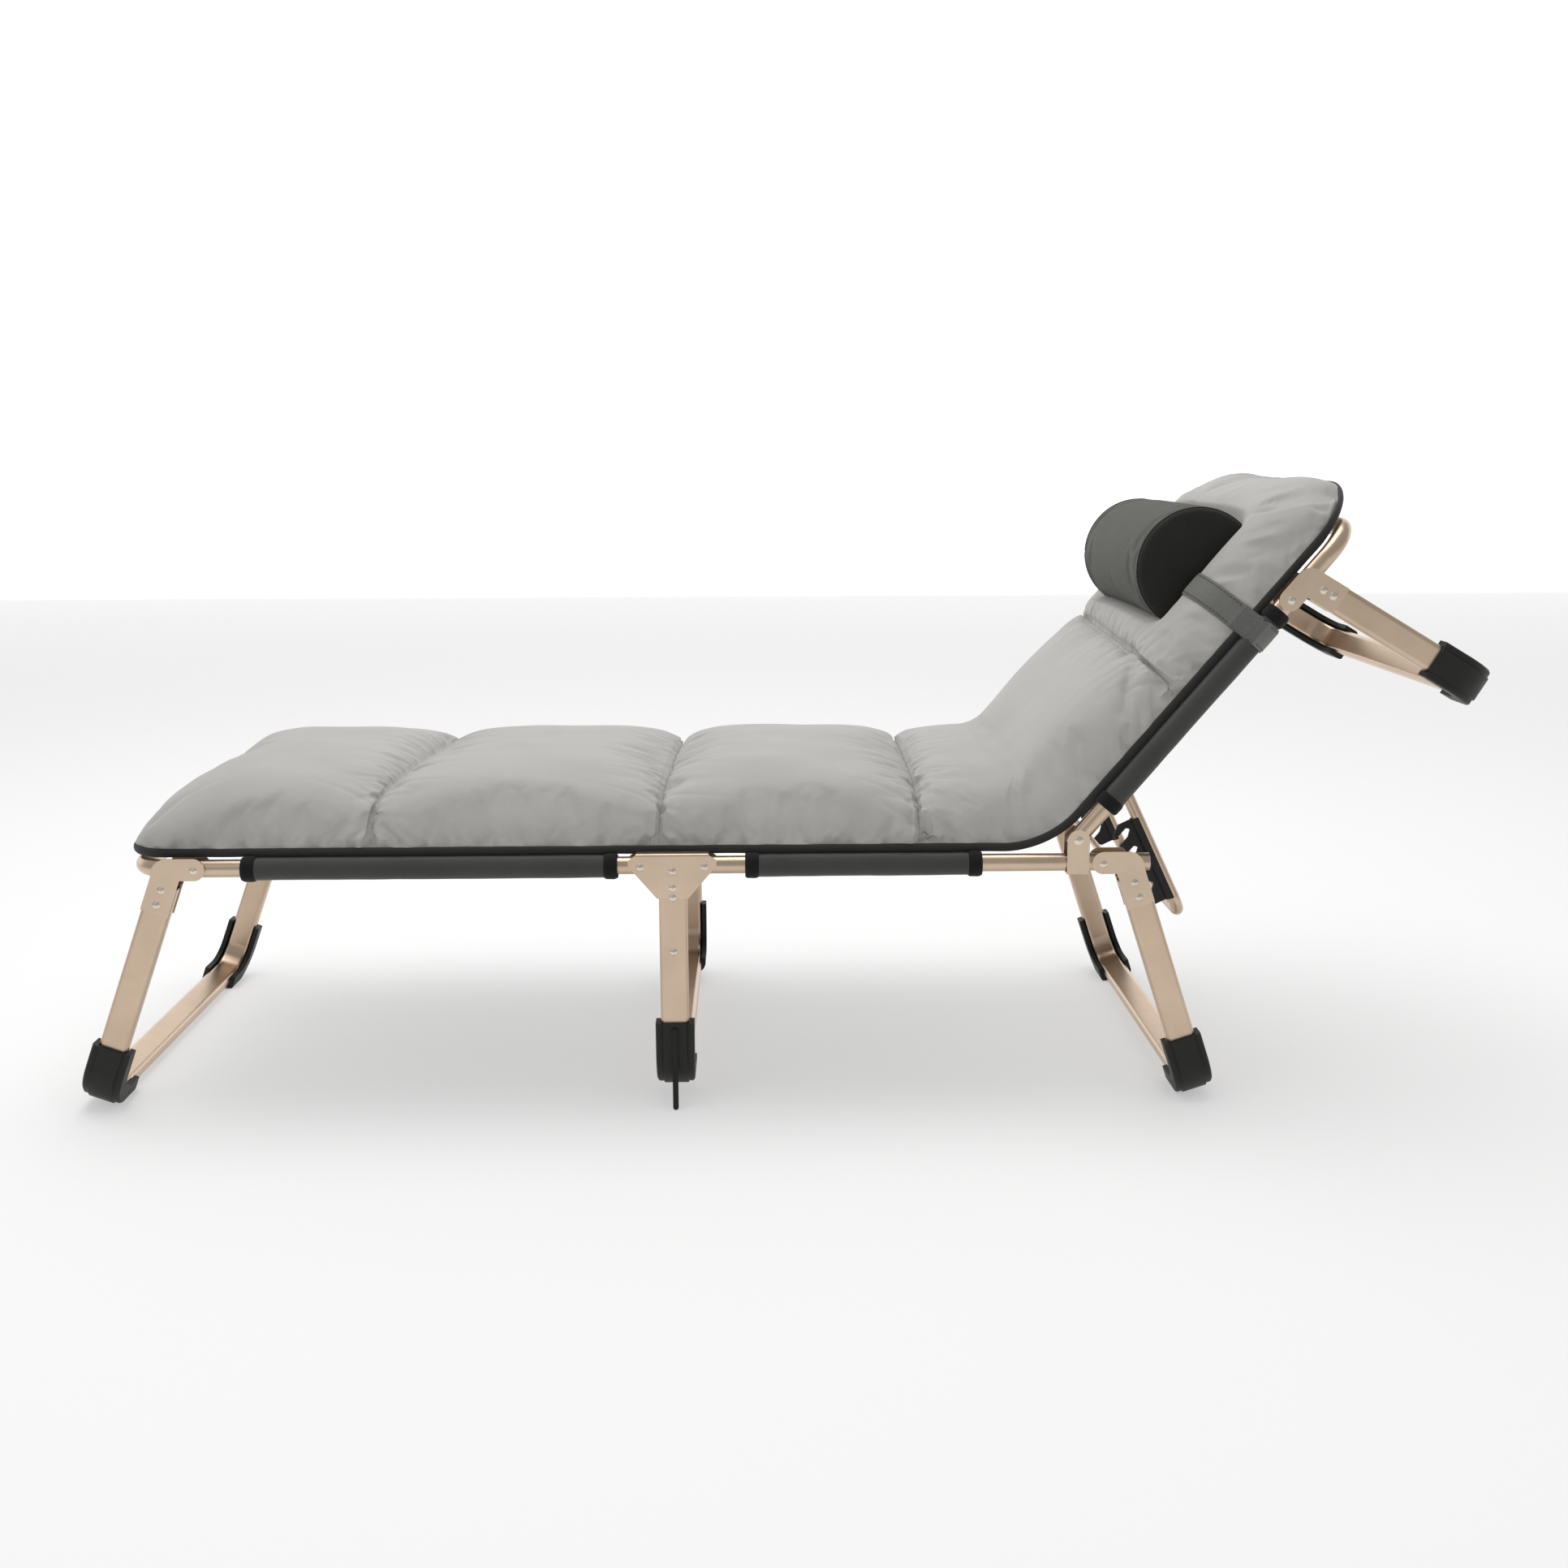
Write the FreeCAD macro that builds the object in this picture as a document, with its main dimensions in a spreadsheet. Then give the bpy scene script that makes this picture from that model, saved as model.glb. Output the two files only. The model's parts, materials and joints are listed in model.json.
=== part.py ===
import FreeCAD, Part
import math
import os
import Sketcher

# A folding cot with a reclining back. Everything is in millimetres and degrees.
# +X is the head end, +Z is up, and the part stands on the plane Z = 0.
# Each sub-part is built in the frame of the joint that it belongs to, and then placed.

DIMENSIONS = {
    # side rails
    "rail_height": 357.0,          # axis of the side rails above the floor
    "rail_side": 312.5,            # axis of each side rail from the middle of the cot
    "rail_radius": 12.5,
    "tube_wall": 1.5,
    "snug": 0.05,                  # gap round a plug or a ring that grips
    "mid_leg_x": -145.6,           # the middle leg, from the middle of the whole part
    "hinge_half": 45.0,            # each middle hinge pin from the middle leg
    "rail_overrun": 8.0,           # rail beyond its hinge pin
    "foot_reach": 750.5,           # from the middle leg to the axis of the foot bow
    "seat_reach": 672.0,           # from the middle leg to the open end of the seat rails
    "bow_bend": 50.0,
    "rail_plug_depth": 14.0,
    "rail_plug_cap": 1.6,
    # back
    "back_pivot_reach": 569.3,     # from the middle leg
    "back_pivot_rise": 34.0,       # above the rail axis
    "back_angle": 50.0,
    "back_reach": 562.5,           # from the back pivot to the axis of the head bow
    "back_overrun": 12.0,
    "crossbar_reach": 113.3,       # from the back pivot to the cross tube
    "crossbar_radius": 9.5,
    # legs
    "leg_width": 40.0,
    "leg_depth": 20.0,
    "leg_corner": 7.0,
    "leg_bend": 45.0,
    "leg_offset": 34.0,            # leg axis from its pivot
    "foot_leg_reach": 665.5,
    "foot_leg_splay": 20.6,
    "seat_leg_reach": 605.0,
    "seat_leg_splay": 18.5,
    "head_leg_reach": 436.0,
    "head_leg_splay": 9.3,
    "head_leg_length": 300.0,      # from its pivot to the middle of its floor bar
    "floor_bar_height": 19.0,      # middle of the floor bar of the splayed legs
    "mid_bar_height": 37.0,        # middle of the floor bar of the middle leg
    "mid_leg_rise": 8.0,           # top of the middle leg above the rail axis
    "leg_stop_gap": 0.3,
    "rivet_first": 8.5,            # from the top of a leg
    "rivet_second": 31.0,
    "head_rivet_second": 24.5,
    "leg_plug_flange": 2.0,
    "leg_plug_stem": 3.0,
    "leg_plug_play": 0.1,
    # shoes
    "shoe_width": 55.0,
    "shoe_height": 83.0,           # above the middle of the floor bar
    "mid_shoe_height": 91.0,
    "shoe_reach": 35.0,            # along the floor bar, past the bend
    "shoe_sole": 5.5,
    "shoe_play": 0.15,
    "shoe_lip": 2.0,               # its side walls reach this far past the leg
    "shoe_edge": 2.5,              # chamfer along its outer edges
    "shoe_panel": 34.0,            # width of the raised panel down its outer face
    "shoe_panel_rise": 2.5,
    "shoe_panel_slope": 1.5,
    "shoe_corner": 9.0,
    "mid_shoe_corner": 19.0,
    "peg_width": 8.0,              # the rubber strip down the middle leg's shoe
    "peg_thickness": 3.6,
    "peg_inset": 6.0,              # its upper end below the shoe's
    # brackets and pins
    "plate": 2.0,
    "play": 0.3,
    "pin_radius": 3.0,
    "pin_play": 0.08,
    "pin_head": 5.6,
    "pin_dome": 2.6,
    "bracket_above": 17.3,         # the cheek's upper edge above the pivot
    "bracket_below": 14.3,
    "bracket_arm": 46.0,           # the outer cheek's arm along the rail
    "inner_bracket_arm": 38.0,
    "bracket_inset": 0.5,          # a cheek's tongue is this much inside the leg's edge
    "bracket_corner": 9.0,
    "bracket_ledge": 2.0,          # the inner cheek's step below the rail
    "bracket_root": 6.0,           # where the outer cheek's hollow ends above the leg's top
    "bracket_hollow": 24.0,
    "bracket_margin": 13.0,        # a cheek's lower end below its last rivet
    # middle hinge
    "channel_top": 19.0,           # above the rail axis
    "channel_top_half": 50.0,
    "channel_half": 62.0,
    "channel_corner": 9.0,
    "channel_low": 2.0,
    "channel_fold": 3.5,
    "tongue_half": 22.0,
    "tongue_drop": 45.0,
    "mid_rivet_first": 6.0,        # each below the rail axis
    "mid_rivet_second": 30.0,
    "mid_rivet_third": 44.0,
    "guide_pin_drop": 124.0,
    # back pivot
    "ear_width": 31.0,
    "ear_strap": 1.6,
    "back_pin_head": 6.6,
    # prop
    "prop_side": 190.0,
    "prop_lean": 25.5,
    "prop_length": 258.0,
    "prop_radius": 9.0,
    "prop_bend": 30.0,
    "prop_start": 16.0,            # the rod's end below the cross tube's axis
    "prop_eye_wall": 2.6,
    "prop_eye_play": 0.15,
    "prop_eye_length": 24.0,
    "prop_stem_depth": 42.0,
    "prop_stem_length": 36.0,
    "prop_collar": 8.0,
    "rack_start": 92.0,
    "rack_depth": 43.0,
    "rack_pitch": 30.0,
    "rack_slot": 14.0,
    "rack_first_notch": 18.0,
    "rack_hook": 9.0,              # how far a notch rises behind its mouth
    "rack_run": 20.0,              # how deep a notch runs
    "rack_round": 5.0,             # its round end
    "rack_corner": 12.0,
    "rack_thickness": 5.0,
    "saddle_play": 0.1,
    "saddle_wall": 2.6,
    "rack_bar_reach": 650.0,
    "rack_bar_drop": 38.0,
    "rack_bar_radius": 5.0,
    "rack_end_reach": 667.0,
    "rack_bar_inset": 20.0,
    "rack_bar_bend": 10.0,
    # cloth
    "cloth": 1.5,
    "sleeve_play": 0.2,
    "sleeve_notch_play": 1.0,
    "band_width": 19.0,
    "band_thickness": 3.0,
    "foot_sleeve_far": 601.0,
    "foot_sleeve_near": 77.0,
    "seat_sleeve_near": 102.0,
    "seat_sleeve_far": 435.0,
    "back_sleeve_near": 58.0,
    "back_sleeve_far": 417.0,
    "mat_rise": 20.0,              # underside of the mat above the rail axis
    "mat_thickness": 68.0,
    "back_mat_thickness": 58.0,
    "mat_side": 304.0,
    "foot_mat_reach": 768.0,
    "foot_mat_slope": 160.0,
    "foot_mat_lip": 20.0,
    "back_mat_reach": 594.0,
    "back_mat_slope": 25.0,
    "back_mat_drop": 22.0,
    "mat_edge": 14.0,
    "pad_gap": 1.0,
    "raise_room": 16.0,            # the back can rise this much before the pads meet
    "pillow_reach": 401.0,
    "pillow_radius": 87.0,
    "pillow_base": 14.0,
    "pillow_half_length": 200.0,
    "pillow_gap": 1.0,
    "pillow_edge": 6.0,
    "strap_width": 40.0,
    "strap_reach": 376.0,
    "strap_thickness": 2.0,
    "strap_play": 0.6,
    "strap_bend": 12.0,
    "strap_slope": 42.0,           # height of the slanting run at each side of the mat
    "strap_slant": 23.1,           # its width
}


class Size:
    """A number together with the spreadsheet expression that gives it."""

    def __init__(self, value, text=None):
        self.value = float(value)
        self.text = text or repr(float(value))

    def _join(self, other, sign, value):
        return Size(value, "(" + self.text + " " + sign + " " + size(other).text + ")")

    def __add__(self, other):
        return self._join(other, "+", self.value + size(other).value)

    def __sub__(self, other):
        return self._join(other, "-", self.value - size(other).value)

    def __mul__(self, other):
        return self._join(other, "*", self.value * size(other).value)

    def __truediv__(self, other):
        return self._join(other, "/", self.value / size(other).value)

    def __radd__(self, other):
        return size(other) + self

    def __rsub__(self, other):
        return size(other) - self

    def __rmul__(self, other):
        return size(other) * self

    def __neg__(self):
        return size(0) - self


def size(number):
    return number if isinstance(number, Size) else Size(number)


def sine(angle):
    return Size(math.sin(math.radians(angle.value)), "sin(" + angle.text + ")")


def cosine(angle):
    return Size(math.cos(math.radians(angle.value)), "cos(" + angle.text + ")")


def sheet_of_dimensions(document):
    sheet = document.addObject("Spreadsheet::Sheet", "Dims")
    for row, (name, value) in enumerate(DIMENSIONS.items(), start=1):
        sheet.set("A" + str(row), name)
        sheet.set("B" + str(row), repr(value))
        sheet.setAlias("B" + str(row), name)
    document.recompute()
    return {name: Size(value, "Dims." + name) for name, value in DIMENSIONS.items()}


doc = FreeCAD.newDocument("FoldingCot")
dim = sheet_of_dimensions(doc)
sub_parts = []


# ---------------------------------------------------------------- frames

def frame(x, z, yaw=0, pitch=0):
    """A joint frame: its place in the part, turned by yaw about Z after pitch about Y."""
    return {"x": size(x), "z": size(z), "yaw": size(yaw), "pitch": size(pitch)}


def along(start, distance, angle):
    """A point at a distance from start, at an angle above the X axis."""
    x, z = start
    return x + distance * cosine(angle), z + distance * sine(angle)


rail_origin = (dim["mid_leg_x"], dim["rail_height"])
back_pivot = (
    dim["mid_leg_x"] + dim["back_pivot_reach"],
    dim["rail_height"] + dim["back_pivot_rise"],
)
head_leg_pivot = along(back_pivot, dim["head_leg_reach"], dim["back_angle"])
prop_pivot = along(back_pivot, dim["crossbar_reach"], dim["back_angle"])

RAIL = frame(*rail_origin)
BACK = frame(*back_pivot, pitch=-dim["back_angle"])
FOOT_LEG = frame(dim["mid_leg_x"] - dim["foot_leg_reach"], dim["rail_height"],
                 pitch=dim["foot_leg_splay"])
SEAT_LEG = frame(dim["mid_leg_x"] + dim["seat_leg_reach"], dim["rail_height"],
                 yaw=180, pitch=dim["seat_leg_splay"])
HEAD_LEG = frame(*head_leg_pivot, yaw=180, pitch=dim["back_angle"] + dim["head_leg_splay"])
PROP = frame(*prop_pivot, pitch=-dim["prop_lean"])


def place(thing, where):
    vector = "vector(" + where["x"].text + "; 0; " + where["z"].text + ")"
    turn = "rotation(" + where["yaw"].text + "; " + where["pitch"].text + "; 0)"
    thing.setExpression("Placement", "placement(" + vector + "; " + turn + ")")


def keep(thing, label, where):
    """Names a finished sub-part, places it and lists it for export."""
    thing.Label = label
    place(thing, where)
    sub_parts.append(thing)
    return thing


# ---------------------------------------------------------------- sketches

def new_body(name):
    return doc.addObject("PartDesign::Body", name + "_body")


def sketch_on(body, plane, offset=0):
    """A sketch on one of the body's own planes, moved along the plane's normal."""
    drawing = body.newObject("Sketcher::SketchObject", body.Name + "_sketch")
    origin_plane = next(f for f in body.Origin.OriginFeatures if f.Role == plane)
    drawing.AttachmentSupport = [(origin_plane, "")]
    drawing.MapMode = "FlatFace"
    drawing.setExpression(".AttachmentOffset.Base.z", size(offset).text)
    return drawing


def drive(drawing, kind, *arguments):
    """Adds a constraint whose value, the last argument, is bound to the sheet."""
    *place_in_sketch, amount = arguments
    index = drawing.addConstraint(Sketcher.Constraint(kind, *place_in_sketch, amount.value))
    drawing.setExpression("Constraints[" + str(index) + "]", amount.text)


def pin_point(drawing, element, end, x, y):
    drive(drawing, "DistanceX", -1, 1, element, end, size(x))
    drive(drawing, "DistanceY", -1, 1, element, end, size(y))


def circle(drawing, x, y, radius):
    x, y, radius = size(x), size(y), size(radius)
    centre = FreeCAD.Vector(x.value, y.value, 0)
    element = drawing.addGeometry(Part.Circle(centre, FreeCAD.Vector(0, 0, 1), radius.value))
    pin_point(drawing, element, 3, x, y)
    drive(drawing, "Radius", element, radius)


def arc_between(start, end, radius, turn):
    """The arc from start to end that bends left (turn > 0) or right (turn < 0)."""
    chord = end - start
    half = chord.Length / 2
    rise = math.sqrt(max(radius * radius - half * half, 0.0))
    normal = FreeCAD.Vector(-chord.y, chord.x, 0).normalize()
    centre = (start + end) * 0.5 + normal * (rise if turn > 0 else -rise)
    first = math.atan2(start.y - centre.y, start.x - centre.x)
    last = math.atan2(end.y - centre.y, end.x - centre.x)
    ring = Part.Circle(centre, FreeCAD.Vector(0, 0, 1), radius)
    if turn > 0:
        return Part.ArcOfCircle(ring, first, last), 1, 2
    return Part.ArcOfCircle(ring, last, first), 2, 1


def curve_the_arc(drawing, element, start, end):
    """Fixes an arc's radius, or the height of its centre where it is half a circle."""
    reach = math.hypot(end[0].value - start[0].value, end[1].value - start[1].value)
    if reach < 2 * end[2].value - 1e-6:
        drive(drawing, "Radius", element, end[2])
    elif abs(end[0].value - start[0].value) > abs(end[1].value - start[1].value):
        drive(drawing, "DistanceY", -1, 1, element, 3, (start[1] + end[1]) / 2)
    else:
        drive(drawing, "DistanceX", -1, 1, element, 3, (start[0] + end[0]) / 2)


def line(drawing, points, closed=True):
    """A run of lines and arcs. A point is (x, y), or (x, y, radius, turn) where an arc ends."""
    points = [tuple(size(v) for v in point[:3]) + tuple(point[3:]) for point in points]
    spots = [FreeCAD.Vector(p[0].value, p[1].value, 0) for p in points]
    count = len(points)
    steps = range(count) if closed else range(1, count)
    ends = []
    for step in steps:
        start, end, target = spots[step - 1], spots[step], points[step]
        if len(target) == 4:
            shape, first, last = arc_between(start, end, target[2].value, target[3])
            element = drawing.addGeometry(shape)
            curve_the_arc(drawing, element, points[step - 1], target)
        else:
            element = drawing.addGeometry(Part.LineSegment(start, end))
            first, last = 1, 2
        ends.append((element, first, last, target))
    for index, (element, first, last, target) in enumerate(ends):
        pin_point(drawing, element, last, target[0], target[1])
        if closed or index:
            before = ends[index - 1]
            drawing.addConstraint(
                Sketcher.Constraint("Coincident", before[0], before[2], element, first))
    if not closed:
        pin_point(drawing, ends[0][0], ends[0][1], points[0][0], points[0][1])


def rounded_rectangle(drawing, x, y, width, height, radius):
    """A rectangle about (x, y) with round corners, drawn anticlockwise."""
    w, h, r = size(width) / 2, size(height) / 2, size(radius)
    x, y = size(x), size(y)
    line(drawing, [
        (x - w + r, y - h), (x + w - r, y - h), (x + w, y - h + r, r, 1),
        (x + w, y + h - r), (x + w - r, y + h, r, 1), (x - w + r, y + h),
        (x - w, y + h - r, r, 1), (x - w, y - h + r), (x - w + r, y - h, r, 1),
    ][1:])


def u_path(drawing, start, far, half, bend, upright=False):
    """Down one side, across at the far end and back up the other side."""
    backwards = far.value < start.value
    turn = -1 if backwards else 1
    inward = bend if backwards else -bend
    points = [
        (start, -half), (far + inward, -half), (far, -half + bend, bend, turn),
        (far, half - bend), (far + inward, half, bend, turn), (start, half),
    ]
    if upright:
        points = [(p[1], p[0]) + p[2:3] + tuple(-t for t in p[3:]) for p in points]
    line(drawing, points, closed=False)


# ---------------------------------------------------------------- features

def pad(body, drawing, length, both_ways=False):
    feature = body.newObject("PartDesign::Pad", body.Name + "_pad")
    feature.Profile = drawing
    feature.SideType = "Symmetric" if both_ways else "One side"
    feature.setExpression("Length", size(length).text)
    return feature


def pocket(body, drawing, length=None):
    """Cuts both ways from the sketch, right through or over a length."""
    feature = body.newObject("PartDesign::Pocket", body.Name + "_pocket")
    feature.Profile = drawing
    feature.SideType = "Symmetric"
    if length is None:
        feature.Type = "ThroughAll"
    else:
        feature.setExpression("Length", size(length).text)
    return feature


def pipe(body, profile, path):
    feature = body.newObject("PartDesign::AdditivePipe", body.Name + "_pipe")
    feature.Profile = profile
    feature.Spine = (path, ["Edge" + str(n + 1) for n in range(path.GeometryCount)])
    return feature


def turned(body, drawing):
    """A full turn about the sketch's horizontal axis."""
    feature = body.newObject("PartDesign::Revolution", body.Name + "_turn")
    feature.Profile = drawing
    feature.ReferenceAxis = (drawing, ["H_Axis"])
    feature.Angle = 360
    return feature


def round_edges(body, base, radius, chosen):
    """Rounds the edges of the base feature that the chosen test accepts."""
    doc.recompute()
    names = ["Edge" + str(n + 1) for n, edge in enumerate(base.Shape.Edges) if chosen(edge)]
    feature = body.newObject("PartDesign::Fillet", body.Name + "_fillet")
    feature.Base = (base, names)
    feature.setExpression("Radius", size(radius).text)
    return feature


def holes(body, places, radius):
    """Round holes right across the body, at places in its XZ plane."""
    drawing = sketch_on(body, "XZ_Plane")
    for x, z in places:
        circle(drawing, x, z, radius)
    return pocket(body, drawing)


def joined(name, things):
    union = doc.addObject("Part::MultiFuse", name)
    union.Shapes = things
    return union


def cut(name, base, tool):
    result = doc.addObject("Part::Cut", name)
    result.Base = base
    result.Tool = tool
    return result


def group(name, things):
    compound = doc.addObject("Part::Compound", name)
    compound.Links = things
    return compound


def mirrored(name, source):
    mirror = doc.addObject("Part::Mirroring", name)
    mirror.Source = source
    mirror.Normal = FreeCAD.Vector(0, 1, 0)
    return mirror


def keep_pair(things, label, where):
    """The same pieces on both sides of the cot, as one node."""
    both = []
    for number, thing in enumerate(things):
        both += [thing, mirrored(label + "_mirror" + str(number), thing)]
    return keep(group(label + "_pair", both), label, where)


def tube_sketch(body, plane, offset, x, y, radius):
    drawing = sketch_on(body, plane, offset)
    circle(drawing, x, y, radius)
    circle(drawing, x, y, radius - dim["tube_wall"])
    return drawing


def cylinder(name, radius, length, x=0, y=0, z=0, axis="Y"):
    """A plain cylinder, centred on (x, y, z) along Y, or starting there along X."""
    thing = doc.addObject("Part::Cylinder", name)
    thing.setExpression("Radius", size(radius).text)
    thing.setExpression("Height", size(length).text)
    start = {"x": size(x), "y": size(y), "z": size(z)}
    if axis == "Y":
        thing.Placement.Rotation = FreeCAD.Rotation(FreeCAD.Vector(1, 0, 0), -90)
        start["y"] = start["y"] - size(length) / 2
    elif axis == "X":
        thing.Placement.Rotation = FreeCAD.Rotation(FreeCAD.Vector(0, 1, 0), 90)
    for letter, value in start.items():
        thing.setExpression(".Placement.Base." + letter, value.text)
    return thing


def block(name, x, y, z, length, width, height):
    """A box centred on x and y that starts at z."""
    thing = doc.addObject("Part::Box", name)
    for side, value in (("Length", length), ("Width", width), ("Height", height)):
        thing.setExpression(side, size(value).text)
    start = {"x": x - size(length) / 2, "y": y - size(width) / 2, "z": size(z)}
    for letter, value in start.items():
        thing.setExpression(".Placement.Base." + letter, value.text)
    return thing


# ---------------------------------------------------------------- rivets and pins

cheek_inner = dim["rail_radius"] + dim["play"]        # half the room between two cheeks
cheek_outer = cheek_inner + dim["plate"]
hole_radius = dim["pin_radius"] + dim["pin_play"]


def pin(name, x, z, low, high, head=None):
    """A round pin along Y with a domed head at each end, near the -Y rail."""
    head = head or dim["pin_head"]
    radius, dome = dim["pin_radius"], dim["pin_dome"]
    bulge = (head * head + dome * dome) / (2 * dome)
    body = new_body(name)
    drawing = sketch_on(body, "YZ_Plane")
    low, high = size(low) - dim["rail_side"], size(high) - dim["rail_side"]
    line(drawing, [
        (low - dome, 0), (high + dome, 0), (high, head, bulge, 1), (high, radius),
        (low, radius), (low, head), (low - dome, 0, bulge, 1),
    ][1:])
    turned(body, drawing)
    for letter, value in (("x", x), ("z", z)):
        body.setExpression(".Placement.Base." + letter, size(value).text)
    return body


def cheek_pins(label, places, where, head=None):
    """Pins through both cheeks at each place, on both sides of the cot."""
    pins = [pin(label + str(n), x, z, -cheek_outer, cheek_outer, head)
            for n, (x, z) in enumerate(places)]
    return keep_pair(pins, label, where)


# ---------------------------------------------------------------- rails

def bow_rail(label, start, far, where, hole_places):
    """A side rail, a round bow and the other side rail, bent from one tube."""
    body = new_body(label)
    path = sketch_on(body, "XY_Plane")
    u_path(path, start, far, dim["rail_side"], dim["bow_bend"])
    section = tube_sketch(body, "YZ_Plane", start, -dim["rail_side"], 0, dim["rail_radius"])
    pipe(body, section, path)
    holes(body, hole_places, hole_radius)
    return keep(body, label, where)


def seat_rail(label, side, hole_places):
    body = new_body(label)
    start = dim["hinge_half"] - dim["rail_overrun"]
    section = tube_sketch(body, "YZ_Plane", start, side * dim["rail_side"], 0,
                          dim["rail_radius"])
    pad(body, section, dim["seat_reach"] - start)
    holes(body, hole_places, hole_radius)
    return keep(body, label, RAIL)


def rail_end_plugs():
    """Plastic plugs in the open ends of the seat rails."""
    bore = dim["rail_radius"] - dim["tube_wall"]
    depth, reach = dim["rail_plug_depth"], dim["seat_reach"]
    stem = cylinder("plug_stem", bore - dim["snug"], depth, reach - depth,
                    -dim["rail_side"], 0, axis="X")
    cap = cylinder("plug_cap", dim["rail_radius"], dim["rail_plug_cap"], reach,
                   -dim["rail_side"], 0, axis="X")
    return keep_pair([joined("plug", [stem, cap])], "seat_rail_plugs", RAIL)


def cross_tube(label, x, radius, length, where):
    body = new_body(label)
    section = tube_sketch(body, "XZ_Plane", 0, x, 0, radius)
    pad(body, section, length, both_ways=True)
    return keep(body, label, where)


# ---------------------------------------------------------------- legs

def leg_top(splay):
    """Distance below the pivot at which the top of a leg meets the underside of its rail."""
    corner = dim["leg_offset"] + dim["leg_width"] / 2
    room = dim["rail_radius"] + dim["leg_stop_gap"]
    return (room + corner * sine(splay)) / cosine(splay)


leg_side = dim["rail_side"] + cheek_inner - dim["leg_depth"] / 2   # leg axis from the middle


def leg_frame(label, x, top, floor_bar, hole_places, where):
    """A flat oval tube: one leg, a bend, the bar along the floor and the other leg."""
    body = new_body(label)
    path = sketch_on(body, "YZ_Plane", x)
    u_path(path, -top, -floor_bar, leg_side, dim["leg_bend"], upright=True)
    section = sketch_on(body, "XY_Plane", -top)
    wall = dim["tube_wall"]
    width, depth, corner = dim["leg_width"], dim["leg_depth"], dim["leg_corner"]
    rounded_rectangle(section, x, -leg_side, width, depth, corner)
    rounded_rectangle(section, x, -leg_side, width - 2 * wall, depth - 2 * wall, corner - wall)
    pipe(body, section, path)
    holes(body, hole_places, hole_radius)
    return keep(body, label, where)


def leg_plugs(label, x, top, where):
    """Plastic plugs in the tops of the legs. Each one's flange bears under the rail."""
    body = new_body(label)
    wall, corner = dim["tube_wall"], dim["leg_corner"]
    width, depth = dim["leg_width"], dim["leg_depth"]
    flange = sketch_on(body, "XY_Plane", -top)
    rounded_rectangle(flange, x, -leg_side, width, depth, corner)
    pad(body, flange, dim["leg_plug_flange"])
    stem = sketch_on(body, "XY_Plane", -top - dim["leg_plug_stem"])
    inset = 2 * (wall + dim["leg_plug_play"])
    rounded_rectangle(stem, x, -leg_side, width - inset, depth - inset, corner - wall)
    pad(body, stem, dim["leg_plug_stem"] + dim["leg_plug_flange"] / 2)
    return keep_pair([body], label, where)


def shoe_section(drawing, x):
    """The shoe's channel: two side walls and a stepped, panelled outer wall."""
    half, edge = dim["shoe_width"] / 2, dim["shoe_edge"]
    fit = dim["leg_width"] / 2 + dim["shoe_play"]
    face = -leg_side - dim["leg_depth"] / 2 - dim["shoe_play"]
    lip = face + dim["leg_depth"] + dim["shoe_lip"]
    crest = face - dim["shoe_sole"]
    step = crest + dim["shoe_panel_rise"]
    panel = dim["shoe_panel"] / 2
    panel_foot = panel + dim["shoe_panel_slope"]
    line(drawing, [
        (x - half, lip), (x - half, step + edge), (x - half + edge, step),
        (x - panel_foot, step), (x - panel, crest), (x + panel, crest),
        (x + panel_foot, step), (x + half - edge, step), (x + half, step + edge),
        (x + half, lip), (x + fit, lip), (x + fit, face), (x - fit, face), (x - fit, lip),
    ])


def shoe_body(label, x, floor_bar, height):
    """A plastic shoe that wraps the bend of a leg from outside and below."""
    body = new_body(label)
    bend, top = dim["leg_bend"], -floor_bar + height
    path = sketch_on(body, "YZ_Plane", x)
    line(path, [
        (-leg_side, top), (-leg_side, -floor_bar + bend),
        (-leg_side + bend, -floor_bar, bend, 1),
        (-leg_side + bend + dim["shoe_reach"], -floor_bar),
    ], closed=False)
    section = sketch_on(body, "XY_Plane", top)
    shoe_section(section, x)
    pipe(body, section, path)
    return body


def trim_to_floor(body, splay):
    """Cuts the shoe flat where it meets the floor."""
    slope = sine(splay) / cosine(splay)
    level = -dim["rail_height"] / cosine(splay)
    outer, inner, deep = -120, 60, -520          # well past the shoe on every side
    drawing = sketch_on(body, "XZ_Plane")
    line(drawing, [
        (outer, outer * slope + level), (outer, deep), (inner, deep),
        (inner, inner * slope + level),
    ])
    pocket(body, drawing)


def round_bottom(body, x, floor_bar, radius):
    """Rounds both lower corners of a shoe, as seen from its side."""
    half = dim["shoe_width"] / 2
    bottom = -floor_bar - dim["leg_depth"] / 2 - dim["shoe_sole"] - dim["shoe_play"]
    past = 5
    drawing = sketch_on(body, "XZ_Plane")
    for sign in (-1, 1):
        edge = x + sign * half
        line(drawing, [
            (edge + sign * past, bottom + radius), (edge + sign * past, bottom - past),
            (edge - sign * radius, bottom - past), (edge - sign * radius, bottom),
            (edge, bottom + radius, radius, sign),
        ])
    pocket(body, drawing)


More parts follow.
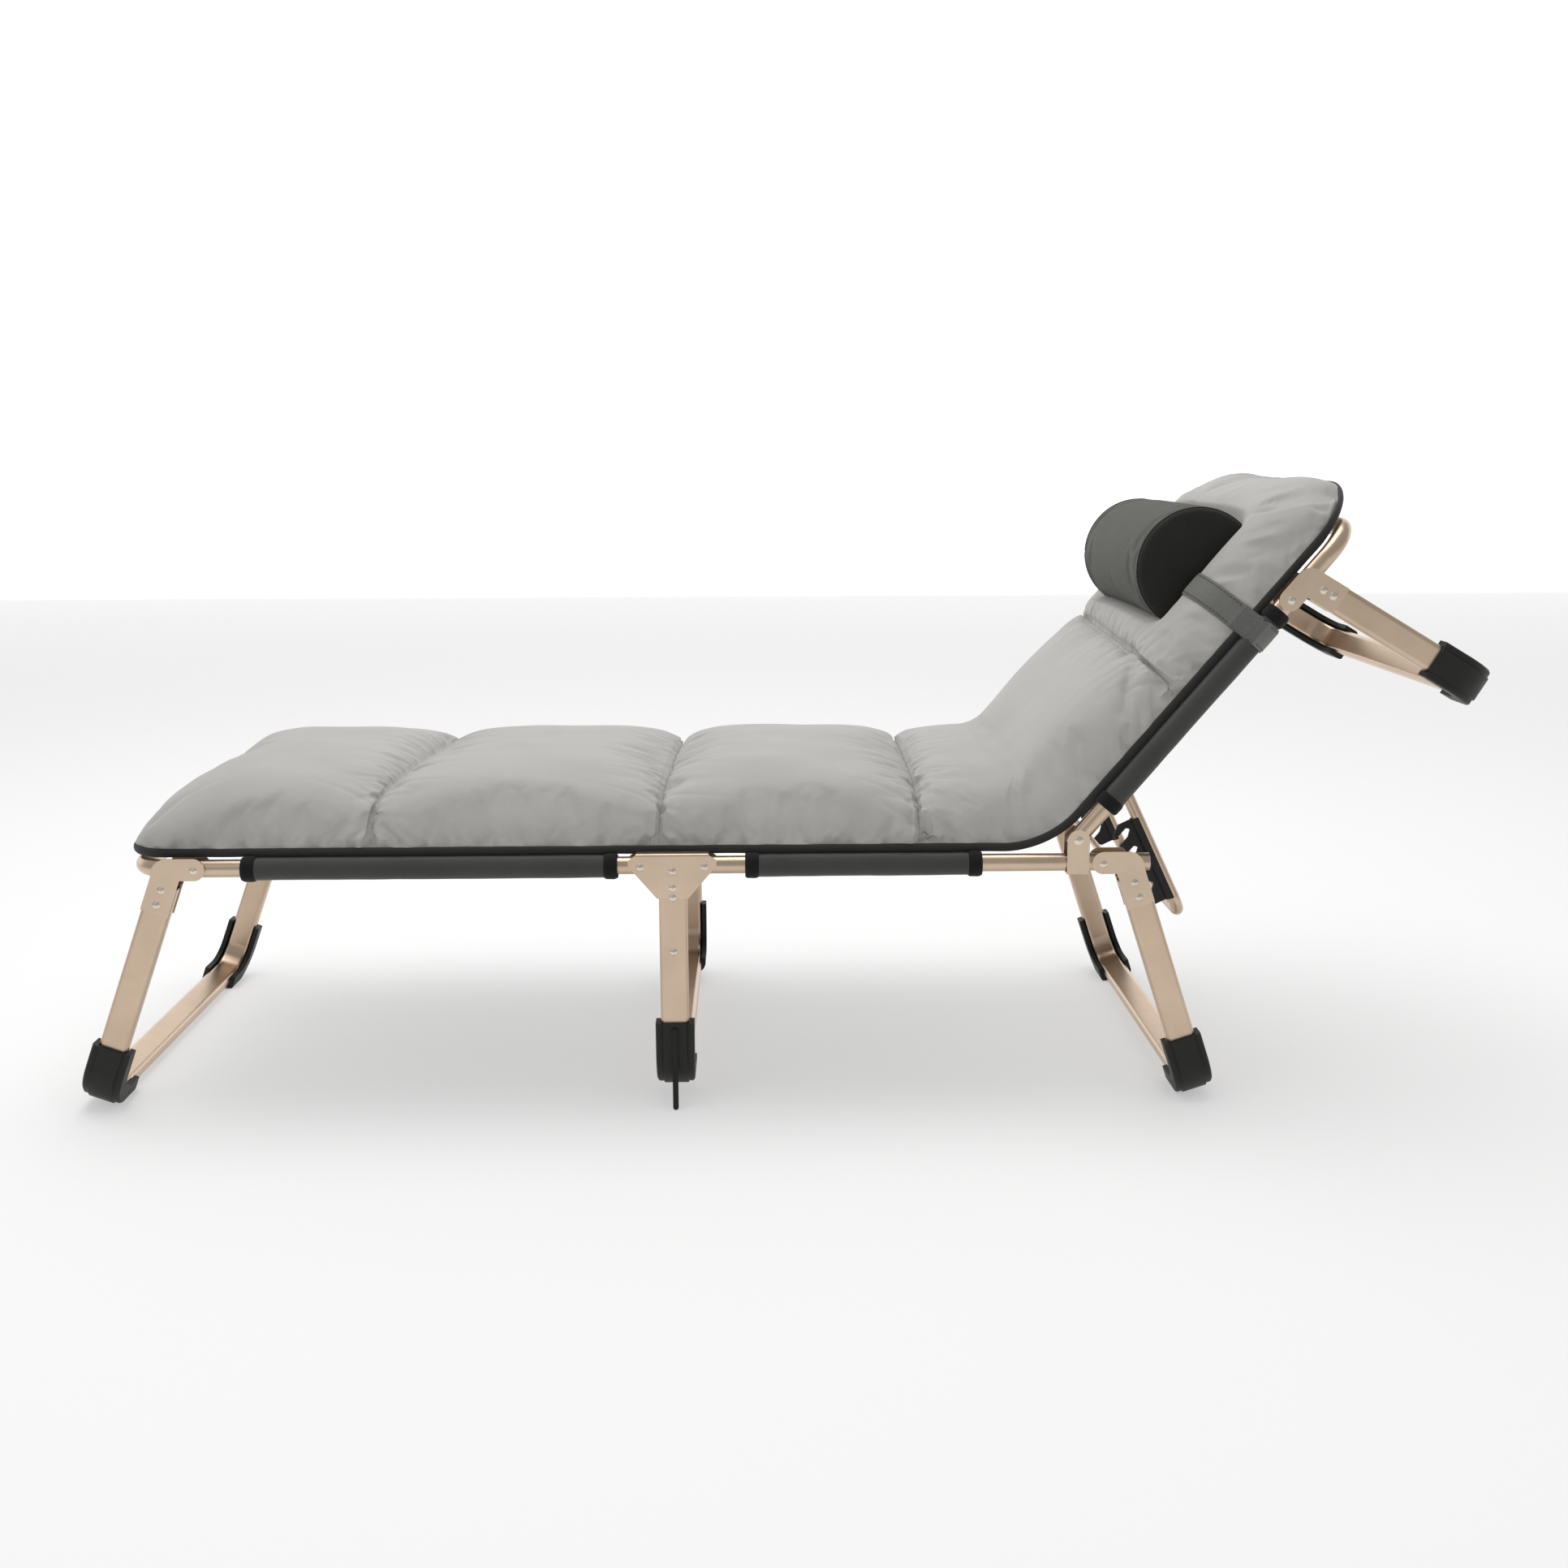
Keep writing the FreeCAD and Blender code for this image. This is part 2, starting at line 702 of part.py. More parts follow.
def bracket_outline(drawing, splay, top, lower_end, arm, stepped):
    """A cheek: a round eye at the pivot, an arm along the rail and a tongue on the leg."""
    above, below = dim["bracket_above"], dim["bracket_below"]
    eye = (above + below) / 2
    x = -dim["leg_offset"]
    half = dim["leg_width"] / 2 - dim["bracket_inset"]
    corner = dim["bracket_corner"]
    across, up = sine(splay), cosine(splay)      # the rail's upward normal in this frame
    throat = ((x + half) * across - below) / up

    def on_rail(along, height):
        return (-along * up - height * across, -along * across + height * up)

    if stepped:
        ledge = -dim["rail_radius"] - dim["bracket_ledge"]
        widest = (half - x - ledge * across) / up
        side = [on_rail(arm - corner, above), (*on_rail(arm, above - corner), corner, 1),
                on_rail(arm, ledge), on_rail(widest, ledge)]
    else:
        side = [on_rail(arm - corner, above),
                (x - half, -top + dim["bracket_root"], dim["bracket_hollow"], 1)]
    line(drawing, [
        (x + half, -lower_end), (x + half, throat), (below * across, -below * up),
        (-above * across, above * up, eye, 1), *side, (x - half, -lower_end),
    ])


def leg_brackets(label, splay, top, rivets, where):
    """Two cheeks on each side, the outer one on the leg's face, the inner one beside it."""
    lower_end = rivets[-1] + dim["bracket_margin"]
    cheeks = []
    for name, inner_face, arm in (("outer", cheek_inner, dim["bracket_arm"]),
                                  ("inner", -cheek_outer, dim["inner_bracket_arm"])):
        body = new_body(label + "_" + name)
        drawing = sketch_on(body, "XZ_Plane", dim["rail_side"] + inner_face)
        bracket_outline(drawing, splay, top, lower_end, arm, stepped=(name == "inner"))
        pad(body, drawing, dim["plate"])
        holes(body, [(0, 0)] + [(-dim["leg_offset"], -r) for r in rivets], hole_radius)
        cheeks.append(body)
    return keep_pair(cheeks, label, where)


def leg_set(name, splay, floor_bar, rivet_second, where, on_floor):
    """One folding leg: frame, plugs, shoes, brackets, rivets and pivot pins."""
    top = leg_top(splay)
    rivets = [top + dim["rivet_first"], top + rivet_second]
    x = -dim["leg_offset"]
    places = [(x, -r) for r in rivets]
    frame_top = top + dim["leg_plug_flange"]
    leg_frame(name + "_leg_frame", x, frame_top, floor_bar, places, where)
    leg_plugs(name + "_leg_plugs", x, frame_top, where)
    shoe = shoe_body(name + "_leg_shoes", x, floor_bar, dim["shoe_height"])
    round_bottom(shoe, x, floor_bar, dim["shoe_corner"])
    if on_floor:
        trim_to_floor(shoe, splay)
    keep_pair([shoe], name + "_leg_shoes", where)
    leg_brackets(name + "_leg_brackets", splay, top, rivets, where)
    cheek_pins(name + "_leg_rivets", places, where)
    cheek_pins(name + "_leg_pivot_pins", [(0, 0)], where)


def splayed_length(splay):
    """From the pivot down to the middle of the floor bar, along a splayed leg."""
    drop = dim["rail_height"] + dim["leg_offset"] * sine(splay) - dim["floor_bar_height"]
    return drop / cosine(splay)


# ---------------------------------------------------------------- middle hinge and leg

mid_rivets = [(0, -dim["mid_rivet_" + name]) for name in ("first", "second", "third")]
guide_hole = (0, -dim["guide_pin_drop"])
mid_hinges = [(-dim["hinge_half"], 0), (dim["hinge_half"], 0)]


def mid_hinge_plates():
    """A folded channel over the rails, with a tongue down each face of the middle leg."""
    body = new_body("mid_hinge_plates")
    outline = sketch_on(body, "XZ_Plane", dim["rail_side"])
    top, half, tongue = dim["channel_top"], dim["channel_half"], dim["tongue_half"]
    one_side = [
        (tongue, -dim["tongue_drop"]), (half, dim["channel_low"]),
        (half, dim["channel_corner"]), (dim["channel_top_half"], top),
    ]
    line(outline, one_side + [(-x, z) for x, z in reversed(one_side)])
    base = pad(body, outline, 2 * cheek_outer, both_ways=True)

    def upper_edges(edge):
        box = edge.BoundBox
        level = box.ZLength < 0.1 and abs(box.ZMax - top.value) < 0.1
        return level and box.YLength < 1

    round_edges(body, base, dim["channel_fold"], upper_edges)
    room = sketch_on(body, "XZ_Plane", dim["rail_side"])
    past = 10
    ceiling, deep = top - dim["plate"], -dim["tongue_drop"] - past
    line(room, [(-half - past, ceiling), (-half - past, deep), (half + past, deep),
                (half + past, ceiling)])
    pocket(body, room, 2 * cheek_inner)
    holes(body, mid_hinges + mid_rivets, hole_radius)
    return keep_pair([body], "mid_hinge_plates", RAIL)


def mid_leg():
    """The upright middle leg, which hangs from the hinge channels."""
    x = size(0)
    top = -dim["mid_leg_rise"]
    floor_bar = dim["rail_height"] - dim["mid_bar_height"]
    leg_frame("mid_leg_frame", x, top, floor_bar, mid_rivets + [guide_hole], RAIL)
    leg_plugs("mid_leg_plugs", x, top, RAIL)
    shoe = shoe_body("mid_leg_shoes", x, floor_bar, dim["mid_shoe_height"])
    round_bottom(shoe, x, floor_bar, dim["mid_shoe_corner"])
    keep_pair([shoe], "mid_leg_shoes", RAIL)
    cheek_pins("mid_hinge_pins", mid_hinges, RAIL)
    cheek_pins("mid_leg_rivets", mid_rivets, RAIL)
    middle, half = dim["rail_side"] - leg_side, dim["leg_depth"] / 2
    guide = pin("mid_leg_guide_pin", *guide_hole, middle - half, middle + half)
    keep_pair([guide], "mid_leg_guide_pins", RAIL)
    mid_leg_pegs()


def mid_leg_pegs():
    """A rubber strip down the middle of each shoe that reaches the floor below it."""
    body = new_body("mid_leg_pegs")
    face = leg_side + dim["leg_depth"] / 2 + dim["shoe_sole"] + dim["shoe_play"]
    drawing = sketch_on(body, "XZ_Plane", face)
    half = dim["peg_width"] / 2
    floor = -dim["rail_height"]
    top = floor + dim["mid_bar_height"] + dim["mid_shoe_height"] - dim["peg_inset"]
    line(drawing, [
        (half, floor + half), (half, top - half), (-half, top - half, half, 1),
        (-half, floor + half), (half, floor + half, half, 1),
    ][1:])
    pad(body, drawing, dim["peg_thickness"])
    return keep_pair([body], "mid_leg_pegs", RAIL)


# ---------------------------------------------------------------- back pivot and prop

def back_pivot_brackets():
    """A folded strap under each seat rail, with two ears that hold the back's pivot."""
    body = new_body("back_pivot_brackets")
    reach, rise, half = dim["back_pivot_reach"], dim["back_pivot_rise"], dim["ear_width"] / 2
    bottom = -cheek_inner - dim["ear_strap"]
    drawing = sketch_on(body, "XZ_Plane", dim["rail_side"])
    line(drawing, [
        (reach + half, bottom), (reach + half, rise), (reach - half, rise, half, 1),
        (reach - half, bottom),
    ])
    pad(body, drawing, 2 * cheek_outer, both_ways=True)
    room = sketch_on(body, "XZ_Plane", dim["rail_side"])
    past = dim["ear_width"]
    line(room, [(reach - past, -cheek_inner), (reach + past, -cheek_inner),
                (reach + past, rise + past), (reach - past, rise + past)])
    pocket(body, room, 2 * cheek_inner)
    holes(body, [(reach, rise)], hole_radius)
    return keep_pair([body], "back_pivot_brackets", RAIL)


def rack_bar():
    """A bent rod between the ends of the seat rails: the prop's notches catch on it."""
    body = new_body("rack_bar")
    run = dim["rack_end_reach"] - dim["rack_bar_reach"]
    lean = math.degrees(math.atan2(run.value, dim["rack_bar_drop"].value))
    low = -math.hypot(run.value, dim["rack_bar_drop"].value)
    end = dim["rail_side"] - dim["rail_radius"]
    side, bend = end - dim["rack_bar_inset"], dim["rack_bar_bend"]
    path = sketch_on(body, "YZ_Plane")
    line(path, [
        (-end, 0), (-side - bend, 0), (-side, -bend, bend, -1), (-side, low + bend),
        (-side + bend, low, bend, 1), (side - bend, low), (side, low + bend, bend, 1),
        (side, -bend), (side + bend, 0, bend, -1), (end, 0),
    ], closed=False)
    section = sketch_on(body, "XZ_Plane", end)
    circle(section, 0, 0, dim["rack_bar_radius"])
    pipe(body, section, path)
    keep(body, "rack_bar",
         frame(dim["mid_leg_x"] + dim["rack_end_reach"], dim["rail_height"], pitch=lean))


def prop():
    """The back's prop: a U-shaped rod on the back's cross tube, with notched plates."""
    start, side = dim["prop_start"], -dim["prop_side"]
    body = new_body("prop_rod")
    path = sketch_on(body, "YZ_Plane")
    u_path(path, -start, -dim["prop_length"], dim["prop_side"], dim["prop_bend"], upright=True)
    section = tube_sketch(body, "XY_Plane", -start, 0, side, dim["prop_radius"])
    pipe(body, section, path)
    keep(body, "prop_rod", PROP)
    eye = cylinder("prop_eye", dim["crossbar_radius"] + dim["prop_eye_wall"],
                   dim["prop_eye_length"], 0, side, 0)
    stem = cylinder("prop_stem", dim["prop_radius"] - dim["tube_wall"] - dim["snug"],
                    dim["prop_stem_length"], 0, side, -dim["prop_stem_depth"], axis="Z")
    collar = cylinder("prop_collar", dim["prop_radius"], dim["prop_collar"], 0, side, -start,
                      axis="Z")
    bore = cylinder("prop_bore", dim["crossbar_radius"] + dim["prop_eye_play"],
                    2 * dim["prop_eye_length"], 0, side, 0)
    clip = cut("prop_clip", joined("prop_clip_solid", [eye, stem, collar]), bore)
    keep_pair([clip], "prop_clips", PROP)
    keep_pair([rack_plate()], "prop_racks", PROP)


def rack_plate():
    """A notched plate along the prop, with a half round saddle on the rod."""
    saddle_inner = dim["prop_radius"] + dim["saddle_play"]
    low = dim["prop_length"] - dim["prop_bend"] - dim["pad_gap"]
    body = new_body("prop_racks")
    drawing = sketch_on(body, "XZ_Plane", dim["prop_side"])
    depth, slot, pitch = dim["rack_depth"], dim["rack_slot"], dim["rack_pitch"]
    start, corner = dim["rack_start"], dim["rack_corner"]
    hook, run = dim["rack_hook"], dim["rack_run"]
    points = [(-saddle_inner, -start), (-depth + corner, -start), (-depth, -start - corner)]
    for number in range(4):
        mouth = start + dim["rack_first_notch"] + number * pitch
        back = -depth + run
        points += [
            (-depth, -mouth), (back, -mouth + hook),
            (back + dim["rack_round"], -mouth + hook - slot * 0.4, slot * 0.42, -1),
            (back - hook * 0.2, -mouth + hook - slot), (-depth, -mouth - slot),
        ]
    points += [(-depth, -low + corner), (-depth + corner, -low), (-saddle_inner, -low)]
    line(drawing, points)
    pad(body, drawing, dim["rack_thickness"], both_ways=True)
    saddle = sketch_on(body, "XY_Plane", -low)
    outer = saddle_inner + dim["saddle_wall"]
    side = -dim["prop_side"]
    line(saddle, [
        (0, side + saddle_inner), (0, side + outer), (0, side - outer, outer, 1),
        (0, side - saddle_inner), (0, side + saddle_inner, saddle_inner, -1),
    ][1:])
    pad(body, saddle, low - start)
    return body


# ---------------------------------------------------------------- cloth, mat and pillow

def sling(label, near, far, where, notch=None):
    """A sheet between the rails with a sleeve round each rail, as one closed solid."""
    inner = dim["rail_radius"] + dim["sleeve_play"]
    outer = inner + dim["cloth"]
    length = far - near
    middle = near + length / 2
    side = dim["rail_side"]
    outsides = [cylinder(label + "_sleeve", outer, length, near, s * side, 0, axis="X")
                for s in (-1, 1)]
    sheet = block(label + "_sheet", middle, size(0), inner, length, 2 * side, dim["cloth"])
    past = 10
    bores = [cylinder(label + "_bore", inner, length + 2 * past, near - past, s * side, 0,
                      axis="X") for s in (-1, 1)]
    if notch:
        room = dim["crossbar_radius"] + dim["sleeve_notch_play"]
        bores.append(cylinder(label + "_notch", room, 2 * side, notch))
    solid = cut(label + "_cut", joined(label + "_solid", outsides + [sheet]),
                joined(label + "_bores", bores))
    return keep(solid, label, where)


def sleeve_bands(label, starts, where):
    """Black collars on the rail at both ends of its sleeves."""
    inner = dim["rail_radius"] + dim["snug"]
    outer = inner + dim["band_thickness"]
    side, width, past = -dim["rail_side"], dim["band_width"], 2
    bands = []
    for start in starts:
        ring = cylinder(label + "_ring", outer, width, start, side, 0, axis="X")
        bore = cylinder(label + "_bore", inner, width + 2 * past, start - past, side, 0,
                        axis="X")
        bands.append(cut(label + "_band", ring, bore))
    return keep_pair(bands, label, where)


def pad_solid(label, points, where):
    """A mat pad: its side outline across the width of the cot, with round long edges."""
    body = new_body(label)
    drawing = sketch_on(body, "XZ_Plane")
    line(drawing, points)
    base = pad(body, drawing, 2 * dim["mat_side"], both_ways=True)
    half, bottom = dim["mat_side"].value, dim["mat_rise"].value
    shortest = 40

    def upper_side_edges(edge):
        box = edge.BoundBox
        on_side = box.YLength < 0.1 and abs(abs(box.YMin) - half) < 0.1
        return on_side and box.ZMin > bottom + 1 and box.XLength > shortest

    round_edges(body, base, dim["mat_edge"], upper_side_edges)
    return keep(body, label, where)


def swung(point, angle):
    """A point of the seat's frame, turned about the back pivot."""
    x, z = point[0] - dim["back_pivot_reach"], point[1] - dim["back_pivot_rise"]
    return x * cosine(angle) - z * sine(angle), x * sine(angle) + z * cosine(angle)


def pads():
    rise, thick = dim["mat_rise"], dim["mat_thickness"]
    gap = dim["pad_gap"]
    pad_solid("pad_foot", [
        (-dim["foot_mat_reach"], rise), (-dim["foot_mat_reach"], rise + dim["foot_mat_lip"]),
        (-dim["foot_mat_reach"] + dim["foot_mat_slope"], rise + thick),
        (-gap, rise + thick), (-gap, rise),
    ], RAIL)
    # The two pads meet on one plane when the back is raised all the way.
    raised = dim["back_angle"] + dim["raise_room"]
    back_thick = dim["back_mat_thickness"]
    pivot = (dim["back_pivot_reach"], dim["back_pivot_rise"])

    def meeting(seat_height, back_height):
        """Where the seat pad's level meets the back pad's level, with the back raised."""
        slide = (seat_height - pivot[1] - back_height * cosine(raised)) / sine(raised)
        return (pivot[0] + slide * cosine(raised) - back_height * sine(raised), seat_height)

    low = meeting(rise, rise)
    high = meeting(rise + thick, rise + back_thick)
    pad_solid("pad_seat", [
        (gap, rise), (gap, rise + thick), (high[0] - gap, high[1]), (low[0] - gap, low[1]),
    ], RAIL)
    low_x, low_z = swung(low, -raised)
    high_x, high_z = swung(high, -raised)
    reach, top = dim["back_mat_reach"], rise + back_thick
    pad_solid("pad_back", [
        (low_x + gap, rise), (high_x + gap, top), (reach - dim["back_mat_slope"], top),
        (reach, top - dim["back_mat_drop"]), (reach, rise),
    ], BACK)


def pillow():
    """A half round bolster that lies on the back pad."""
    mat_top = dim["mat_rise"] + dim["back_mat_thickness"]
    base = mat_top + dim["strap_thickness"] + dim["pillow_gap"]
    reach, radius = dim["pillow_reach"], dim["pillow_radius"]
    spring = base + dim["pillow_base"]
    body = new_body("pillow")
    drawing = sketch_on(body, "XZ_Plane")
    line(drawing, [
        (reach + radius, base), (reach + radius, spring),
        (reach - radius, spring, radius, 1), (reach - radius, base),
    ])
    solid = pad(body, drawing, 2 * dim["pillow_half_length"], both_ways=True)

    def end_edges(edge):
        return edge.BoundBox.YLength < 0.1

    round_edges(body, solid, dim["pillow_edge"], end_edges)
    return keep(body, "pillow", BACK)


def pillow_strap():
    """A webbing loop under the pillow, over the pad's sides and round both rails."""
    play, thick = dim["strap_play"], dim["strap_thickness"]
    sleeve = dim["rail_radius"] + dim["sleeve_play"] + dim["cloth"]
    reach = dim["rail_side"] + sleeve + play
    low = -sleeve - play
    high = dim["mat_rise"] + dim["back_mat_thickness"] + play
    shoulder, slant = high - dim["strap_slope"], dim["strap_slant"]
    body = new_body("pillow_strap")
    drawing = sketch_on(body, "YZ_Plane", dim["strap_reach"] - dim["strap_width"] / 2)

    def loop(extra):
        e = size(extra)
        side, top, bottom = reach + e, high + e, low - e
        bend = dim["strap_bend"] + e
        line(drawing, [
            (side - bend, bottom), (side, bottom + bend, bend, 1), (side, shoulder + e),
            (side - slant, top), (-side + slant, top), (-side, shoulder + e),
            (-side, bottom + bend), (-side + bend, bottom, bend, 1),
        ])

    loop(0)
    loop(thick)
    pad(body, drawing, dim["strap_width"])
    return keep(body, "pillow_strap", BACK)


# ---------------------------------------------------------------- the whole cot

def build():
    overrun = dim["hinge_half"] - dim["rail_overrun"]
    bow_rail("foot_rail", -overrun, -dim["foot_reach"], RAIL,
             [(-dim["hinge_half"], 0), (-dim["foot_leg_reach"], 0)])
    for label, side in (("seat_rail_left", -1), ("seat_rail_right", 1)):
        seat_rail(label, side, [(dim["hinge_half"], 0), (dim["seat_leg_reach"], 0)])
    rail_end_plugs()
    bow_rail("back_rail", -dim["back_overrun"], dim["back_reach"], BACK,
             [(0, 0), (dim["head_leg_reach"], 0)])
    inner_span = 2 * (dim["rail_side"] - dim["rail_radius"])
    cross_tube("back_crossbar", dim["crossbar_reach"], dim["crossbar_radius"], inner_span, BACK)

    mid_hinge_plates()
    mid_leg()
    leg_set("foot", dim["foot_leg_splay"], splayed_length(dim["foot_leg_splay"]),
            dim["rivet_second"], FOOT_LEG, on_floor=True)
    leg_set("seat", dim["seat_leg_splay"], splayed_length(dim["seat_leg_splay"]),
            dim["rivet_second"], SEAT_LEG, on_floor=True)
    leg_set("head", dim["head_leg_splay"], dim["head_leg_length"],
            dim["head_rivet_second"], HEAD_LEG, on_floor=False)

    back_pivot_brackets()
    cheek_pins("back_pivot_pins", [(dim["back_pivot_reach"], dim["back_pivot_rise"])], RAIL,
               head=dim["back_pin_head"])
    rack_bar()
    prop()

    band = dim["band_width"]
    sling("foot_sling", -dim["foot_sleeve_far"] + band, -dim["foot_sleeve_near"] - band, RAIL)
    sling("seat_sling", dim["seat_sleeve_near"] + band, dim["seat_sleeve_far"] - band, RAIL)
    sling("back_sling", dim["back_sleeve_near"] + band, dim["back_sleeve_far"] - band, BACK,
          notch=dim["crossbar_reach"])
    sleeve_bands("foot_sleeve_bands",
                 [-dim["foot_sleeve_far"], -dim["foot_sleeve_near"] - band], RAIL)
    sleeve_bands("seat_sleeve_bands",
                 [dim["seat_sleeve_near"], dim["seat_sleeve_far"] - band], RAIL)
    sleeve_bands("back_sleeve_bands",
                 [dim["back_sleeve_near"], dim["back_sleeve_far"] - band], BACK)
    pads()
    pillow()
    pillow_strap()


def check_and_export():
    """Stops at any failed object or bad shape, and then writes one STEP file per sub-part."""
    doc.recompute()
    faults = []
    for thing in doc.Objects:
        if "Invalid" in thing.State or "Error" in thing.State:
            faults.append(thing.Name + " " + str(thing.State))
    for thing in sub_parts:
        if thing.Shape.isNull() or not thing.Shape.isValid() or thing.Shape.Volume < 1:
            faults.append(thing.Label + " has a bad shape")
    if faults:
        raise RuntimeError("; ".join(faults))
    os.makedirs("parts", exist_ok=True)
    whole = FreeCAD.BoundBox()
    for thing in sub_parts:
        thing.Shape.exportStep("parts/" + thing.Label + ".step")
        whole.add(thing.Shape.BoundBox)
        print(thing.Label, len(thing.Shape.Solids), "solids, volume", round(thing.Shape.Volume))
    print(len(sub_parts), "sub-parts; box", whole)


build()
check_and_export()
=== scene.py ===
import json
import math

import bmesh
import bpy
import numpy as np
from mathutils import Matrix, Vector, noise


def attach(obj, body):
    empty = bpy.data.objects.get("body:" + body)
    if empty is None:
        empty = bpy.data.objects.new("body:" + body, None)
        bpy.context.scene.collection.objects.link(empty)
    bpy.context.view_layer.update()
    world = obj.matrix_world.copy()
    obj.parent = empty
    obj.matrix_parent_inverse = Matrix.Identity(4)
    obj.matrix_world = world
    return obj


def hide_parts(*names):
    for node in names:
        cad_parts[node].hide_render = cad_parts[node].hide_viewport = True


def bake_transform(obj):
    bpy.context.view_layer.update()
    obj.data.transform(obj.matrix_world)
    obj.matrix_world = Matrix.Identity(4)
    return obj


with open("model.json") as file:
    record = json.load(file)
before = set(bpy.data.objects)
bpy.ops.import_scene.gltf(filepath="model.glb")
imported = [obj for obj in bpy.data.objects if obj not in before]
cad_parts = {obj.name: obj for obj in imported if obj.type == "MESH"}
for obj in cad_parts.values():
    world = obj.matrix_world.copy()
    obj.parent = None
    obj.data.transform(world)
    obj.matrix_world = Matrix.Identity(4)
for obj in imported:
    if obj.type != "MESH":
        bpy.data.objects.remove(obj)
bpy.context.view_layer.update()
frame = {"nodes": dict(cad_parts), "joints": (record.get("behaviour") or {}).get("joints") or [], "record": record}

# Metres and degrees. +X is the head end, +Z is up, and the near side is -Y.
JOINTS = {joint["name"]: joint for joint in frame["joints"]}
MIDDLE = (JOINTS["mid_fold"]["pos_m"][0] + JOINTS["foot_fold"]["pos_m"][0]) / 2
RAIL_Z = JOINTS["mid_fold"]["pos_m"][2]
PIVOT_X, PIVOT_Z = JOINTS["back_recline"]["pos_m"][0], JOINTS["back_recline"]["pos_m"][2]
BACK_ANGLE = math.radians(50)
RAIL_SIDE = 0.3125
SWELL_FRAMES = 20

# The mat lies on a line above the rails that bends up into the back. A place on it is
# given by its distance s along that line from the middle leg, the side y and a height.
MAT_RISE = 0.020
BEND_RADIUS = 0.139
FOOT_END = -0.768
HEAD_END = 1.174
SEAMS = (-0.404, -0.011, 0.353, 0.816)
SEAM_SLANTS = (0.022, 0.008, 0.005, 0.011)
MAT_HALF = 0.305
FOOT_CORNER = (0.062, 0.062)                  # reach of a round corner along s and along y
HEAD_CORNER = (0.100, 0.150)
SEAM_DEPTH = 0.072
PANEL_CROWN = 0.094                           # the mat's thickness in the middle of a panel
HEAD_CROWN = 0.078
FOOT_ROLL = (0.150, 0.56)                     # how far in each end rounds off, and how fully
HEAD_ROLL = (0.100, 0.60)
LEAST_DEPTH = 0.006
TOP_POWER, SIDE_POWER = 2.3, 3.5              # how square the mat's section is
CURL = math.radians(96)                       # how far the cover turns round the mat's edge
TOP_COLUMNS = 121
UNDER_COLUMNS = 12
CELL = 0.006

# The dark binding along the mat's lower edge.
HEM_OUT, HEM_UP = 0.0040, 0.0062
HEM_RISE = 0.0008                             # its middle above the mat's line
HEM_GAP = 0.0005
HEM_WAVE_OUT, HEM_WAVE_UP, HEM_WAVE_LENGTH = 0.0012, 0.001, 0.05
HEM_END_POINTS, HEM_CORNER_POINTS = 90, 22

# The pillow lies on the back; its reach is from the back's pivot.
PILLOW_REACH = 0.401
PILLOW_BASE = 0.081
PILLOW_RADIUS = 0.087
PILLOW_SPRING = 0.014
PILLOW_HALF = 0.200
PILLOW_ROUND = 0.013
PILLOW_END = ((-0.002, 0.25), (-0.002, 0.50), (-0.0015, 0.75), (-0.0005, 0.89), (0.0015, 0.945),
              (0.005, 0.98), (0.009, 0.995))  # inset from the end and size, from its middle
PILLOW_BASE_POINTS, PILLOW_DOME_POINTS, PILLOW_STATIONS = 34, 56, 74
PILLOW_BASE_ROUND = 0.006
PILLOW_CORD_RADIUS = 0.0009
PRESS_SIDE, PRESS_REACH, PRESS_FADE = 0.225, 0.105, 0.03  # where it presses the mat down

# The strap goes round the mat and both rails; its reach is from the back's pivot.
STRAP_REACH = 0.376
STRAP_HALF = 0.019
STRAP_THICK = 0.0017
STRAP_GAP = 0.0012

# Each sling is a sheet between two sleeves: its body, and where its two ends are.
SLINGS = {
    "foot": ("foot", -0.601, -0.077),
    "seat": ("seat", 0.102, 0.435),
    "back": ("back", 0.058, 0.417),
}
SLEEVE_RADIUS = 0.0156
SLEEVE_DROP = 0.0012                          # the loose sleeve hangs below the rail's axis
SHEET_RISE = 0.0134
SHEET_SAG = 0.0035
HEM_INSET = 0.036
BAND_WIDTH = 0.019
BAND_INNER, BAND_OUTER, BAND_LAP = 0.0008, 0.0027, 0.0009  # beyond the sleeve's radius

CAMERA_PLACE = (-0.0300, -2.5886, 0.9342)
CAMERA_YAW, CAMERA_PITCH, CAMERA_ROLL = (math.radians(a) for a in (1.041, 11.476, -0.185))
LENS = 38.26


# ---------------------------------------------------------------- places on the mat's line

def bend():
    """Start of the bend, its length and what turns s into a distance along the back."""
    rise = RAIL_Z + MAT_RISE
    back_x = PIVOT_X - MAT_RISE * math.sin(BACK_ANGLE)
    back_z = PIVOT_Z + MAT_RISE * math.cos(BACK_ANGLE)
    reach = (rise - back_z) / math.sin(BACK_ANGLE)
    corner = back_x + reach * math.cos(BACK_ANGLE) - MIDDLE
    tangent = BEND_RADIUS * math.tan(BACK_ANGLE / 2)
    length = BEND_RADIUS * BACK_ANGLE
    return corner - tangent, length, reach + tangent - (corner - tangent + length)


BEND_START, BEND_LENGTH, BACK_SHIFT = bend()


def on_line(s, y, height):
    """The points at distance s, side y and height above the line that the mat lies on."""
    s, y, height = np.broadcast_arrays(*(np.asarray(v, float) for v in (s, y, height)))
    angle = np.clip((s - BEND_START) / BEND_RADIUS, 0, BACK_ANGLE)
    flat = np.minimum(s, BEND_START)
    after = np.maximum(s - BEND_START - BEND_LENGTH, 0)
    x = MIDDLE + flat + BEND_RADIUS * np.sin(angle) + after * math.cos(BACK_ANGLE)
    z = RAIL_Z + MAT_RISE + BEND_RADIUS * (1 - np.cos(angle)) + after * math.sin(BACK_ANGLE)
    return np.stack([x - height * np.sin(angle), y, z + height * np.cos(angle)], axis=-1)


